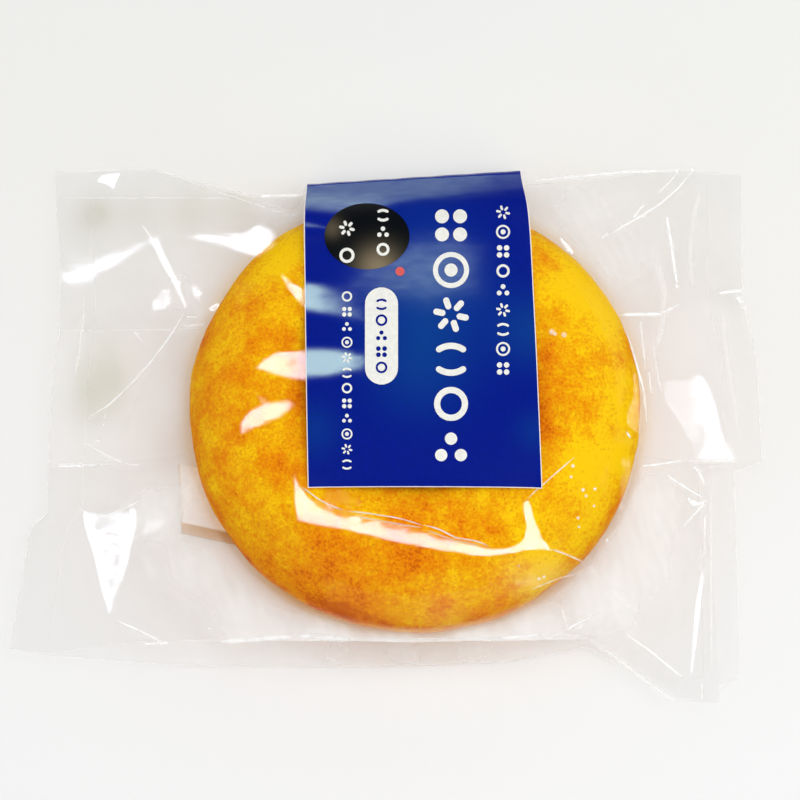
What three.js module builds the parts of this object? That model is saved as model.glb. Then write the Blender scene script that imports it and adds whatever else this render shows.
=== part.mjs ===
// A baked doughnut sealed in a clear film bag, with a label folded over the bag's long edge and a small
// sticker on its back. Millimetres, +Z up. The bag lies on its back: its long side runs along X, and the
// folded edge of the label points to +Y. The origin is under the middle of the bag, on the surface that it
// lies on.

import * as THREE from 'three';
import { mergeVertices } from 'three/addons/utils/BufferGeometryUtils.js';

// The doughnut inside: where its middle stands, its outer radius, the ring where it is highest, its flat
// foot, and how square its section is, from 2 for an ellipse.
const DOUGHNUT_X = 4.4;
const DOUGHNUT_Y = 0.3;
const DOUGHNUT_RADIUS = 40.4;
const DOUGHNUT_HEIGHT = 28;
const WIDEST_HEIGHT = 12;
const CROWN_RADIUS = 24;
const FOOT_RADIUS = 27;
const SQUARENESS = 2.2;

// The four sides of the bag, seen from above, each from one corner to the next.
const LEFT_SIDE = [
  [-67.6, -41.5], [-65.1, -19.5], [-62.3, -16.7], [-62.5, 4.8], [-61.4, 20.4], [-61.8, 29.7], [-63.8, 50.4],
];
const RIGHT_SIDE = [
  [58.0, -51.2], [58.1, -47.7], [62.0, -47.2], [62.2, -26.0], [62.4, -8.6], [67.6, -7.1], [67.6, 12.6],
  [65.4, 24.4], [66.4, 49.8],
];
const NEAR_SIDE = [
  [-67.6, -41.5], [-60.2, -42.8], [-42.1, -43.9], [-5.9, -44.2], [21.2, -43.3], [34.9, -40.6], [50.9, -50.7],
  [58.0, -51.2],
];
const FAR_SIDE = [
  [-63.8, 50.4], [-45.1, 51.2], [-25.7, 45.6], [-16.1, 45.8], [24.4, 48.4], [53.4, 51.2], [66.4, 49.8],
];

// The plain rectangle that the sides depart from, and how far in from a side its departure is felt.
const PLAIN = { left: -63, right: 63, near: -44, far: 48.5 };
const FELT_X = 22;
const FELT_Y = 14;
const COLUMNS = 46;
const ROWS = 32;
const EXTRA_COLUMNS = [34.9];
const EXTRA_ROWS = [-19.5, -16.7, -8.6, -7.1];

// How high the long edges of the front and back film lie, from the left end to the right. Between them the
// sides are folded inwards, and the solid is filled out to a wall there.
const FRONT_EDGES = {
  near: [[-67, 4.5], [-44, 7.0], [-20, 11.8], [4, 12.6], [22, 11.4], [35, 6.0], [58, 4.5]],
  far: [[-64, 4.5], [-45, 6.5], [-17, 9.0], [24, 9.0], [45, 7.0], [66, 4.5]],
};
const BACK_EDGES = {
  near: [[-67, 3.5], [-50, 1.0], [35, 0.8], [58, 3.5]],
  far: [[-64, 3.5], [-45, 1.6], [45, 1.6], [66, 3.5]],
};

// The sealed ends: their width, thickness and height, and how far in from them the sides open fully.
const SEAL_WIDTH = 6.5;
const SEAL_THICKNESS = 1;
const END_HEIGHT = 4;
const OPENING_LENGTH = 26;

// The square grid on which the film is pulled taut, with its sweeps and how far each one oversteps; how hard
// the trapped air bulges it, and how much stiffer the front film is along X under its label.
const FIELD = { halfX: 72, halfY: 56, step: 1 };
const SWEEPS = 900;
const OVERSTEP = 1.85;
const AIR = 0.016;
const LABEL_STIFFNESS = 25;

// The labels and the gap that they keep to the film.
const GAP = 0.35;
const LABEL_THICKNESS = 0.25;
const FRONT_LABEL = { x: 5.9, width: 40.6, near: -19, lean: -0.026, back: 12 };
const BACK_LABEL = { x: -15.5, y: -15, width: 46, height: 12, turn: -0.15 };
const BACK_LABEL_LIFT = 0.8;
const LIFT_START = 2.8;
const LIFT_END = 6;

const clamp = THREE.MathUtils.clamp;
const lerp = THREE.MathUtils.lerp;
const mapLinear = THREE.MathUtils.mapLinear;

/** Evenly spaced lines from low to high, with the extra ones sorted in. */
function gridLines(low, high, count, extra) {
  const even = Array.from({ length: count + 1 }, (_, k) => lerp(low, high, k / count));
  const spacing = (high - low) / count;
  const kept = even.filter((line, k) => k === 0 || k === count
    || extra.every((other) => Math.abs(line - other) > spacing / 4));
  return [...kept, ...extra].sort((a, b) => a - b);
}

/** A plain coordinate stretched near both corners, so that a side of its own length fills the same lines. */
function stretched(value, low, high, first, last, felt) {
  if (value < low + felt) {
    return mapLinear(value, low, low + felt, first, low + felt);
  }
  if (value > high - felt) {
    return mapLinear(value, high - felt, high, high - felt, last);
  }
  return value;
}

/** The other coordinate of a side at a place along it. */
function sideAt(side, place, along) {
  const across = 1 - along;
  const last = side.length - 1;
  const next = clamp(side.findIndex((point) => point[along] >= place), 1, last);
  const [a, b] = place > side[last][along] ? side.slice(-2) : [side[next - 1], side[next]];
  const share = clamp((place - a[along]) / (b[along] - a[along]), 0, 1);
  return lerp(a[across], b[across], share);
}

/** How a side's departure fades with the distance from it. */
function fade(distance, felt) {
  return clamp(1 - distance / felt, 0, 1);
}

/** The place of a grid point once the four sides have their true outline. */
function spread(x, y) {
  const endY = (side) => stretched(y, PLAIN.near, PLAIN.far, side[0][1], side.at(-1)[1], FELT_Y);
  const longX = (side) => stretched(x, PLAIN.left, PLAIN.right, side[0][0], side.at(-1)[0], FELT_X);
  const shift = (px, py) => [px - x, py - y];
  const left = shift(sideAt(LEFT_SIDE, endY(LEFT_SIDE), 1) + x - PLAIN.left, endY(LEFT_SIDE));
  const right = shift(sideAt(RIGHT_SIDE, endY(RIGHT_SIDE), 1) + x - PLAIN.right, endY(RIGHT_SIDE));
  const near = shift(longX(NEAR_SIDE), sideAt(NEAR_SIDE, longX(NEAR_SIDE), 0) + y - PLAIN.near);
  const far = shift(longX(FAR_SIDE), sideAt(FAR_SIDE, longX(FAR_SIDE), 0) + y - PLAIN.far);
  const toLeft = fade(x - PLAIN.left, FELT_X);
  const toRight = fade(PLAIN.right - x, FELT_X);
  const toNear = fade(y - PLAIN.near, FELT_Y);
  const toFar = fade(PLAIN.far - y, FELT_Y);
  const corners = [
    [toLeft * toNear, NEAR_SIDE[0], PLAIN.left, PLAIN.near],
    [toRight * toNear, NEAR_SIDE.at(-1), PLAIN.right, PLAIN.near],
    [toLeft * toFar, FAR_SIDE[0], PLAIN.left, PLAIN.far],
    [toRight * toFar, FAR_SIDE.at(-1), PLAIN.right, PLAIN.far],
  ];
  const place = [x, y];
  for (const axis of [0, 1]) {
    place[axis] += toLeft * left[axis] + toRight * right[axis] + toNear * near[axis] + toFar * far[axis];
    for (const [share, corner, plainX, plainY] of corners) {
      place[axis] -= share * (corner[axis] - [plainX, plainY][axis]);
    }
  }
  return place;
}

/** Height of the doughnut's upper side, or nothing outside it. */
function doughnutTop(x, y) {
  const radius = Math.hypot(x - DOUGHNUT_X, y - DOUGHNUT_Y);
  if (radius > DOUGHNUT_RADIUS) {
    return -Infinity;
  }
  const out = clamp((radius - CROWN_RADIUS) / (DOUGHNUT_RADIUS - CROWN_RADIUS), 0, 1);
  return lerp(WIDEST_HEIGHT, DOUGHNUT_HEIGHT, Math.sqrt(1 - out ** SQUARENESS));
}

/** Height of the doughnut's underside, or nothing outside it. */
function doughnutBottom(x, y) {
  const radius = Math.hypot(x - DOUGHNUT_X, y - DOUGHNUT_Y);
  if (radius > DOUGHNUT_RADIUS) {
    return Infinity;
  }
  const out = clamp((radius - FOOT_RADIUS) / (DOUGHNUT_RADIUS - FOOT_RADIUS), 0, 1);
  return lerp(WIDEST_HEIGHT, 0, Math.sqrt(1 - out ** SQUARENESS));
}

/** Height of the front or back film at the bag's edges, blended over the inside. */
function edgeHeight(x, y, isFront) {
  const edges = isFront ? FRONT_EDGES : BACK_EDGES;
  const end = END_HEIGHT + (isFront ? SEAL_THICKNESS : -SEAL_THICKNESS) / 2;
  const fromEnd = Math.min(x - sideAt(LEFT_SIDE, y, 1), sideAt(RIGHT_SIDE, y, 1) - x);
  const open = clamp((fromEnd - SEAL_WIDTH) / OPENING_LENGTH, 0, 1);
  const far = clamp((y - PLAIN.near) / (PLAIN.far - PLAIN.near), 0, 1);
  return lerp(end, lerp(sideAt(edges.near, x, 0), sideAt(edges.far, x, 0), far), open);
}

/** Whether a place lies on a sealed end, where both films meet, or outside the bag. */
function isClosed(x, y) {
  return x < sideAt(LEFT_SIDE, y, 1) + SEAL_WIDTH || x > sideAt(RIGHT_SIDE, y, 1) - SEAL_WIDTH
    || y < sideAt(NEAR_SIDE, x, 0) || y > sideAt(FAR_SIDE, x, 0);
}

function turned(x, y, angle) {
  return [x * Math.cos(angle) - y * Math.sin(angle), x * Math.sin(angle) + y * Math.cos(angle)];
}

/** How far the back film is lifted off the surface by the thickness of the back label. */
function liftByBackLabel(x, y) {
  const [across, up] = turned(x - BACK_LABEL.x, y - BACK_LABEL.y, -BACK_LABEL.turn);
  const overX = Math.max(Math.abs(across) - BACK_LABEL.width / 2, 0);
  const overY = Math.max(Math.abs(up) - BACK_LABEL.height / 2, 0);
  return BACK_LABEL_LIFT * clamp((LIFT_END - Math.hypot(overX, overY)) / (LIFT_END - LIFT_START), 0, 1);
}

/** Whether a place lies under the front label. */
function isUnderLabel(x, y) {
  const across = x - FRONT_LABEL.x - FRONT_LABEL.lean * (y - FRONT_LABEL.near);
  return Math.abs(across) < FRONT_LABEL.width / 2 && y > FRONT_LABEL.near;
}

/**
 * One film pulled taut between its edges, as a function of place. On a square grid each point goes to the
 * mean of its neighbours, pushed outwards by the air, and is kept off the doughnut.
 */
function tautFilm(isFront, keepOff) {
  const wide = Math.round(FIELD.halfX / FIELD.step);
  const deep = Math.round(FIELD.halfY / FIELD.step);
  const place = (i, j) => [(i - wide) * FIELD.step, (j - deep) * FIELD.step];
  const grid = (rule) => Array.from({ length: 2 * wide + 1 }, (_, i) =>
    Array.from({ length: 2 * deep + 1 }, (__, j) => rule(...place(i, j))));
  const closed = grid(isClosed);
  const film = grid((x, y) => edgeHeight(x, y, isFront));
  const stiff = grid((x, y) => (isFront && isUnderLabel(x, y) ? LABEL_STIFFNESS : 1));
  const push = (isFront ? AIR : -AIR) * FIELD.step ** 2;
  for (let sweep = 0; sweep < SWEEPS; sweep += 1) {
    for (let i = 1; i < 2 * wide; i += 1) {
      for (let j = 1; j < 2 * deep; j += 1) {
        if (!closed[i][j]) {
          const toLeft = Math.min(stiff[i][j], stiff[i - 1][j]);
          const toRight = Math.min(stiff[i][j], stiff[i + 1][j]);
          const alongX = toLeft * film[i - 1][j] + toRight * film[i + 1][j];
          const alongY = film[i][j - 1] + film[i][j + 1];
          const wanted = (alongX + alongY + push) / (toLeft + toRight + 2);
          film[i][j] = keepOff(lerp(film[i][j], wanted, OVERSTEP), ...place(i, j));
        }
      }
    }
  }
  return (x, y) => {
    const [across, along] = [x / FIELD.step + wide, y / FIELD.step + deep];
    const [i, j] = [Math.floor(across), Math.floor(along)];
    const near = lerp(film[i][j], film[i + 1][j], across - i);
    const far = lerp(film[i][j + 1], film[i + 1][j + 1], across - i);
    return lerp(near, far, along - j);
  };
}

/** A box's vertices moved by a rule, welded into one closed body. */
function shapedBox(across, along, rule) {
  const geometry = new THREE.BoxGeometry(1, 1, 1, across, along, 1);
  const position = geometry.getAttribute('position');
  for (let k = 0; k < position.count; k += 1) {
    const i = Math.round((position.getX(k) + 0.5) * across);
    const j = Math.round((position.getY(k) + 0.5) * along);
    position.setXYZ(k, ...rule(i, j, position.getZ(k) > 0));
  }
  geometry.deleteAttribute('normal');
  geometry.deleteAttribute('uv');
  const welded = mergeVertices(geometry, 1e-4);
  welded.computeVertexNormals();
  return welded;
}

function namedMesh(name, geometry, color, roughness) {
  const mesh = new THREE.Mesh(geometry, new THREE.MeshStandardMaterial({ color, roughness, metalness: 0 }));
  mesh.name = name;
  return mesh;
}

function makeBag() {
  const columns = gridLines(PLAIN.left, PLAIN.right, COLUMNS, EXTRA_COLUMNS);
  const rows = gridLines(PLAIN.near, PLAIN.far, ROWS, EXTRA_ROWS);
  const front = tautFilm(true, (z, x, y) => Math.max(z, doughnutTop(x, y)));
  const back = tautFilm(false, (z, x, y) => clamp(z, 0, doughnutBottom(x, y)));
  const [lastColumn, lastRow] = [columns.length - 1, rows.length - 1];
  const rule = (i, j, isFront) => {
    const [x, y] = spread(columns[i], rows[j]);
    if (i === 0 || j === 0 || i === lastColumn || j === lastRow) {
      return [x, y, edgeHeight(x, y, isFront)];
    }
    return [x, y, isFront ? front(x, y) : Math.max(back(x, y), liftByBackLabel(x, y))];
  };
  return namedMesh('bag', shapedBox(lastColumn, lastRow, rule), 0xe8b04a, 0.3);
}

/** Finds how high a body's upper or lower side is at a place. */
function heightFinder(mesh) {
  const ray = new THREE.Raycaster();
  const far = 100;
  return (x, y, fromAbove) => {
    const start = new THREE.Vector3(x, y, fromAbove ? far : -far);
    ray.set(start, new THREE.Vector3(0, 0, fromAbove ? -1 : 1));
    const hit = ray.intersectObject(mesh)[0];
    return hit ? hit.point.z : null;
  };
}

/** A path in the Y-Z plane moved sideways by a distance, with square corners. */
function offsetPath(path, distance) {
  return path.map((point, k) => {
    const before = path[Math.max(k - 1, 0)];
    const after = path[Math.min(k + 1, path.length - 1)];
    const into = new THREE.Vector2(point[0] - before[0], point[1] - before[1]);
    const out = new THREE.Vector2(after[0] - point[0], after[1] - point[1]);
    const first = (into.length() > 0 ? into : out).clone().normalize();
    const second = (out.length() > 0 ? out : into).clone().normalize();
    const normal = new THREE.Vector2(-first.y - second.y, first.x + second.x).normalize();
    const reach = distance / Math.max(normal.dot(new THREE.Vector2(-first.y, first.x)), 0.5);
    return [point[0] + normal.x * reach, point[1] + normal.y * reach];
  });
}

/** The front label: up the front film, round the folded far edge of the bag, and down the back film. */
function makeFrontLabel(heightAt) {
  const across = 14;
  const upFront = 30;
  const downBack = 6;
  const inset = 0.02;
  const paths = [];
  for (let i = 0; i <= across; i += 1) {
    const start = FRONT_LABEL.x + FRONT_LABEL.width * (i / across - 0.5);
    const edgeX = start + FRONT_LABEL.lean * (FAR_SIDE[3][1] - FRONT_LABEL.near);
    const edgeY = sideAt(FAR_SIDE, edgeX, 0) - inset;
    const path = [];
    for (let j = 0; j <= upFront; j += 1) {
      const y = lerp(FRONT_LABEL.near, edgeY, j / upFront);
      path.push([y, heightAt(lerp(start, edgeX, j / upFront), y, true)]);
    }
    for (let j = 0; j <= downBack; j += 1) {
      const y = edgeY - FRONT_LABEL.back * (j / downBack);
      path.push([y, heightAt(edgeX, y, false)]);
    }
    const columns = path.map((_, j) => lerp(start, edgeX, Math.min(j / upFront, 1)));
    const inner = offsetPath(path, GAP);
    const outer = offsetPath(path, GAP + LABEL_THICKNESS);
    paths.push({ columns, inner, outer });
  }
  const steps = upFront + downBack + 1;
  const rule = (i, j, isOuter) => {
    const { columns, inner, outer } = paths[i];
    return [columns[j], ...(isOuter ? outer : inner)[j]];
  };
  return namedMesh('front_label', shapedBox(across, steps, rule), 0x16347f, 0.35);
}

/** The back label: a small strip under the back film, turned a little. */
function makeBackLabel(heightAt) {
  const across = 12;
  const along = 4;
  const rule = (i, j, isUpper) => {
    const right = BACK_LABEL.width * (i / across - 0.5);
    const up = BACK_LABEL.height * (j / along - 0.5);
    const [dx, dy] = turned(right, up, BACK_LABEL.turn);
    const [x, y] = [BACK_LABEL.x + dx, BACK_LABEL.y + dy];
    return [x, y, heightAt(x, y, false) - GAP - (isUpper ? 0 : LABEL_THICKNESS)];
  };
  return namedMesh('back_label', shapedBox(across, along, rule), 0xf4f1ec, 0.6);
}

const bag = makeBag();
const heightAt = heightFinder(bag);
const pack = new THREE.Group();
pack.add(bag, makeFrontLabel(heightAt), makeBackLabel(heightAt));

export default pack;
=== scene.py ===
"""A baked doughnut sealed in a clear film bag, with a folded front label and a small back sticker.

The bag lies on its back on a pale floor and the camera looks steeply down from the front. Shapes are worked
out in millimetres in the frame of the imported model, and MM turns them into metres.
"""
import math

import bpy
import numpy as np
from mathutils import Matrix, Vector, noise


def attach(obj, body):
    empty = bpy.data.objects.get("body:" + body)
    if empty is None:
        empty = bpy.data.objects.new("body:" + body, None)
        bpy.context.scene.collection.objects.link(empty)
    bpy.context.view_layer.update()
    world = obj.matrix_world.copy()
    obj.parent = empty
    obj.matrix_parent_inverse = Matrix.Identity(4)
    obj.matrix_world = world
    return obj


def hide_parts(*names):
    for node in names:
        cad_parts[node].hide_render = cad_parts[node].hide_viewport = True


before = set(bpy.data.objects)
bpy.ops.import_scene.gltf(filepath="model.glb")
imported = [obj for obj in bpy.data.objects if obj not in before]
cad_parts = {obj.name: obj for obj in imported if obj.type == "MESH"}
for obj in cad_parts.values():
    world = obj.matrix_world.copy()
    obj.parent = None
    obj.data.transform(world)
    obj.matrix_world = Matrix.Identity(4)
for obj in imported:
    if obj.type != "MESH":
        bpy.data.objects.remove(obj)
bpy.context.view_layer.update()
MM = 0.001

# The camera: it looks steeply down from the front at the middle of the photograph.
IMAGE = 800
CAMERA_TARGET = np.array([1.7, 6.1, 0.0])
CAMERA_ELEVATION = math.radians(72)
CAMERA_DISTANCE = 450.0
CAMERA_FIELD = math.radians(18.7)
SENSOR = 36.0
FOCAL_PIXELS = IMAGE / 2 / math.tan(CAMERA_FIELD / 2)
LOOK = np.array([0.0, math.cos(CAMERA_ELEVATION), -math.sin(CAMERA_ELEVATION)])
IMAGE_UP = np.array([0.0, math.sin(CAMERA_ELEVATION), math.cos(CAMERA_ELEVATION)])
EYE = CAMERA_TARGET - CAMERA_DISTANCE * LOOK

# The lamp whose reflections are the glare on the film: its direction from the bag, its distance, and the
# widths and brightness of the discs that make it up, brightest in the middle and fading outwards.
LAMP_DIRECTION = np.array([-0.23, -0.04, 0.97])
LAMP_DISTANCE = 900.0
LAMP_GAP = 5.0
LAMP_DISCS = [(200.0, 40.0), (290.0, 7.5), (390.0, 5.0), (500.0, 3.1), (620.0, 1.9)]
LAMP_COLOR = (0.76, 0.82, 0.97)
LAMP = CAMERA_TARGET + LAMP_DISTANCE * LAMP_DIRECTION / np.linalg.norm(LAMP_DIRECTION)

# The soft lamp, and the light from all round.
SOFT_LAMP = np.array([190.0, -60.0, 800.0])
SOFT_LAMP_WIDTH = 800.0
SOFT_LAMP_RADIANCE = 2.12
WORLD_STRENGTH = 0.705

# The doughnut: its middle, its outer radius, the rings where it is highest and lowest, and its hole.
DOUGHNUT = np.array([4.4, 0.3])
DOUGHNUT_RADIUS = 40.4
DOUGHNUT_HEIGHT = 28.0
WIDEST_HEIGHT = 12.0
CROWN_RADIUS = 24.0
FOOT_RADIUS = 27.0
INNER_FOOT_RADIUS = 21.0
HOLE_RADIUS = 9.5
ROUNDNESS = 2.2
FOOT_LEVEL = 0.8
DOUGHNUT_CELLS = (512, 150)

# The dough's lumps: how wide and high they are, and how high they get together. Beside the doughnut its
# surface counts as far off, and the tiny length keeps divisions from failing.
DOUGH_LUMPS = [(13, 0.45), (4, 0.16), (1.3, 0.08)]
HIGHEST_LUMP = 0.4
FAR_OFF = 100.0
TINY = 1e-9

# The outline of the bag, seen from above, each side from one corner to the next.
LEFT_SIDE = np.array([
    (-67.6, -41.5), (-65.1, -19.5), (-62.3, -16.7), (-62.5, 4.8), (-61.4, 20.4), (-61.8, 29.7),
    (-63.8, 50.4)])
RIGHT_SIDE = np.array([
    (58.0, -51.2), (58.1, -47.7), (62.0, -47.2), (62.2, -26.0), (62.4, -8.6), (67.6, -7.1), (67.6, 12.6),
    (65.4, 24.4), (66.4, 49.8)])
BACK_NEAR = np.array([
    (-67.6, -41.5), (-60.2, -42.8), (-42.1, -43.9), (-5.9, -44.2), (21.2, -43.3), (34.9, -40.6),
    (50.9, -50.7), (58.0, -51.2)])
BACK_FAR = np.array([
    (-63.8, 50.4), (-45.1, 51.2), (-25.7, 46.4), (-16.1, 46.2), (24.4, 48.4), (53.4, 51.2), (66.4, 49.8)])
FRONT_NEAR = np.array([
    (-67.6, -41.5), (-60.2, -42.3), (-44.1, -40.6), (-30.0, -41.6), (4.0, -42.4), (22.0, -41.8),
    (35.2, -40.2), (50.9, -50.4), (58.0, -51.2)])
FRONT_FAR = np.array([
    (-63.8, 50.4), (-45.0, 50.6), (-35.7, 46.2), (-25.3, 42.8), (-17.4, 39.7), (-15.9, 45.3),
    (24.4, 48.2), (27.0, 46.6), (39.3, 48.6), (53.4, 50.7), (66.4, 49.8)])

# The plain rectangle that the sides depart from, and how far in along X and Y their departure is felt.
PLAIN = {"left": -63.0, "right": 63.0, "near": -44.0, "far": 48.5}
FELT = (22.0, 14.0)

# How high the long edges of the front and back panels lie, from left to right, and the sealed ends. From
# a seal the panels open over so many times its width.
FRONT_NEAR_HEIGHT = np.array([
    (-67, 3.8), (-44, 7.0), (-20, 11.8), (4, 12.6), (22, 11.4), (35, 5.5), (58, 3.8)])
FRONT_FAR_HEIGHT = np.array([(-64, 3.8), (-45, 6.5), (-17, 9.0), (24, 9.0), (45, 7.0), (66, 3.8)])
BACK_NEAR_HEIGHT = np.array([(-67, 3.4), (-50, 1.0), (35, 0.8), (58, 3.4)])
BACK_FAR_HEIGHT = np.array([(-64, 3.4), (-45, 1.6), (45, 1.6), (66, 3.4)])
END_HEIGHT = 3.6
END_GAP = 0.2
SEAL_WIDTH = 6.5
OPENING = 4

# The inner folds of the two gussets, from left to right, and the clearance that they keep to the doughnut.
FAR_FOLD = np.array([(-66, 18.1), (-34.5, 18.1), (42.6, 20.8), (52.1, 20.8), (61.1, 25.6), (70, 25.6)])
NEAR_FOLD = np.array([(-68, -7.4), (70, -7.4)])
FOLD_CLEARANCE = 1.0
FOLD_GAP = 0.06

# The square grid on which the film is pulled taut, and how hard the trapped air lifts it.
FIELD_X = 72.0
FIELD_Y = 56.0
STEP = 0.5
AIR = 0.016
SWEEPS = 500
OVERSHOOT = 1.88
FILM_CLEARANCE = 0.5
FOOT_CLEARANCE = 0.15
LOWEST_FILM = 0.12

# How many points the panels and folded sides have along and across, how places on a film are found from
# pixels: the first height and the number of rounds, and how the sticker lifts the back film.
FRONT_CELLS = (340, 250)
BACK_CELLS = (200, 150)
GUSSET_CELLS = (260, 60)
SIGHT_START = 8.0
SIGHT_ROUNDS = 15
STICKER_BLUR = 3.0
STICKER_LIFT = 0.5

# Glare on the front film, where it is turned to mirror the lamp: how far the middle of the lamp is missed
# and how uneven the film is, in radians, how blurred the patch's edge is in millimetres, and its outline in
# pixels of the photograph. Outside the patches the film is turned from the lamp by the clearance, which
# varies in streaks, and it is rippled all over.
LAMP_CLEARANCE = 0.2
GLARE = {
    "far_left_corner": (0.02, 0.04, 0.5, [
        (94, 182), (103, 173), (124, 171), (118, 182), (114, 194), (107, 186)]),
    "left_wedge_soft": (0.15, 0.06, 3.4, [
        (60, 246), (60, 288), (76, 293), (106, 281), (136, 262), (160, 244), (150, 230), (116, 236),
        (85, 240)]),
    "left_wedge": (0.02, 0.05, 1.4, [
        (60, 270), (60, 281), (73, 286), (99, 277), (127, 261), (154, 243), (159, 237), (149, 239),
        (122, 250), (94, 262), (76, 268)]),
    "far_wedge_soft": (0.15, 0.06, 3.0, [
        (172, 228), (215, 224), (245, 222), (270, 212), (290, 224), (288, 252), (256, 270), (228, 262),
        (198, 250)]),
    "far_wedge": (0.02, 0.06, 1.4, [
        (160, 235), (191, 234), (241, 233), (257, 224), (268, 226), (276, 236), (272, 247), (255, 258),
        (239, 252), (210, 244), (182, 238)]),
    "far_left_crease": (0.0, 0.03, 0.4, [
        (148, 236), (159, 239), (170, 261), (179, 280), (184, 277), (181, 287), (188, 305), (184, 310),
        (174, 288), (159, 262)]),
    "left_spot": (0.05, 0.06, 0.8, [
        (161, 288), (173, 285), (175, 302), (166, 312), (147, 315), (150, 302)]),
    "middle_spot": (0.05, 0.06, 0.8, [(187, 284), (200, 282), (206, 292), (201, 305), (192, 300)]),
    "crust_spot": (0.03, 0.06, 0.5, [(205, 308), (222, 298), (221, 309), (210, 315)]),
    "low_spot": (0.02, 0.06, 0.5, [(126, 328), (138, 330), (146, 342), (141, 345)]),
    "near_left_triangle": (0.06, 0.08, 0.9, [
        (81, 507), (103, 510), (135, 507), (139, 514), (134, 542), (124, 582), (116, 603), (109, 614),
        (103, 595), (94, 559), (83, 525)]),
    "triangle_side": (0.0, 0.03, 0.5, [
        (81, 507), (88, 514), (96, 535), (102, 560), (108, 590), (112, 604), (109, 614), (103, 595),
        (94, 559), (83, 525)]),
    "triangle_far_side": (0.0, 0.03, 0.5, [
        (131, 509), (137, 509), (136, 526), (132, 545), (127, 565), (122, 580), (121, 560), (126, 535)]),
    "near_left_flap": (0.08, 0.05, 0.9, [(139, 537), (144, 516), (171, 517), (161, 531), (148, 538)]),
    "upper_sliver": (0.03, 0.07, 0.6, [
        (276, 268), (284, 272), (294, 281), (307, 288), (307, 311), (297, 304), (288, 293), (280, 281)]),
    "left_streak": (0.02, 0.06, 0.6, [
        (254, 369), (262, 359), (276, 351), (307, 349), (330, 352), (350, 362), (345, 375), (307, 381),
        (289, 380), (272, 375)]),
    "low_streak": (0.02, 0.07, 0.6, [
        (239, 437), (238, 423), (248, 411), (262, 405), (255, 393), (270, 402), (288, 399), (297, 405),
        (286, 414), (270, 423), (254, 430)]),
    "sweep_streaks": (0.07, 0.16, 0.6, [
        (318, 500), (335, 508), (357, 514), (380, 519), (400, 523), (425, 529), (445, 536), (470, 542),
        (488, 549), (470, 549), (445, 545), (420, 539), (400, 534), (371, 527), (339, 520), (321, 512)]),
    "near_sweep": (0.0, 0.06, 0.4, [
        (294, 474), (299, 486), (309, 498), (321, 508), (338, 516), (357, 521), (414, 533), (452, 543),
        (471, 546), (487, 548), (506, 547), (517, 543), (523, 537), (525, 525), (522, 510), (523, 500),
        (530, 500), (535, 516), (542, 534), (557, 554), (538, 552), (527, 552), (510, 555.5), (490, 558),
        (471, 556.5), (443, 552), (414, 546), (386, 540), (366, 535), (343, 529.5), (320, 526),
        (297, 522), (294, 505)]),
    "far_right_of_crust": (0.0, 0.03, 0.4, [(556, 236), (563, 237), (574, 249), (576, 258), (566, 252)]),
    "far_right_crease": (0.0, 0.03, 0.4, [
        (664, 215), (670, 216), (675, 247), (680, 286), (675, 288), (669, 250)]),
    "right_band": (0.09, 0.06, 2.2, [
        (655, 370), (700, 370), (712, 405), (708, 445), (696, 464), (680, 442), (664, 414), (654, 400)]),
    "right_wedge": (0.04, 0.06, 1.6, [
        (689, 371), (703, 371), (715, 384), (721, 402), (729, 433), (742, 464), (687, 464), (699, 442),
        (697, 405)]),
    "crust_side_band": (0.085, 0.04, 0.8, [
        (625, 332), (629, 360), (630, 392), (623, 412), (622, 425), (632, 434), (643, 446), (645, 420),
        (643, 390), (636, 360), (628, 336)]),
    "crust_side_low": (0.13, 0.06, 1.2, [
        (616, 448), (636, 450), (638, 480), (624, 525), (608, 545), (614, 500)]),
    "crust_low_band": (0.14, 0.06, 1.8, [
        (498, 566), (530, 562), (556, 570), (566, 586), (540, 600), (510, 598)]),
    "right_sliver": (0.0, 0.03, 0.5, [
        (705, 560), (699, 575), (694, 600), (691, 640), (689, 675), (693, 675), (698, 645), (702, 610),
        (705, 582)]),
    "near_right_glint": (0.05, 0.06, 0.8, [(562, 635), (577, 622), (598, 610), (583, 632), (573, 636)]),
    "step_glint": (0.0, 0.04, 0.5, [(683, 493), (693, 498), (709, 500), (698, 509), (690, 507)])}
RIPPLE = 0.02
RIPPLE_SIZE = (2.6, 0.9, 3.0)
STREAKS = 0.6
STREAK_SIZE = (3.4, 13.0, 9.0)
STREAK_LEAN = 0.35

# Areas of the front film: milky ones, partly the film's own milkiness and partly painted light that lifts
# the shade round the doughnut, and darker ones below 0, which are painted shade: the middle and radius in
# pixels, and how much.
FILM_MILK_AND_PAINTED_SHADE = {
    "near_a": (262, 642, 38, 0.6), "near_b": (330, 650, 36, 1.0), "near_c": (400, 654, 36, 1.15),
    "near_d": (470, 652, 36, 1.1), "near_e": (535, 636, 34, 0.8), "near_f": (600, 608, 36, 0.7),
    "low_left": (216, 575, 34, 0.35), "low_left_rim": (240, 610, 26, 0.4), "right": (650, 500, 40, 0.5),
    "right_low": (640, 560, 44, 0.5), "far_left_spots": (180, 290, 34, 0.35),
    "far_left": (195, 320, 24, 0.2), "far_right": (580, 210, 44, 0.42),
    "beside_label": (290, 200, 24, 0.3), "left_sticker": (155, 515, 30, 0.7),
    "sticker": (192, 490, 22, 0.3), "below_sticker": (184, 566, 28, 0.34),
    "left_near": (165, 400, 34, 0.3), "right_far": (628, 262, 42, 0.42),
    "far_right_fold": (720, 240, 30, 0.2), "far_left_shade_a": (98, 212, 17, -0.7),
    "far_left_shade_b": (140, 211, 20, -0.45), "far_left_shade_c": (190, 208, 22, -0.6), "far_left_shade_d": (238, 206, 20, -0.6),
    "left_mid": (105, 378, 26, -0.8), "left_mid_low": (92, 404, 24, -0.5),
    "left_far": (110, 340, 30, -0.3), "far_left_edge": (84, 222, 24, -0.3)}
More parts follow.
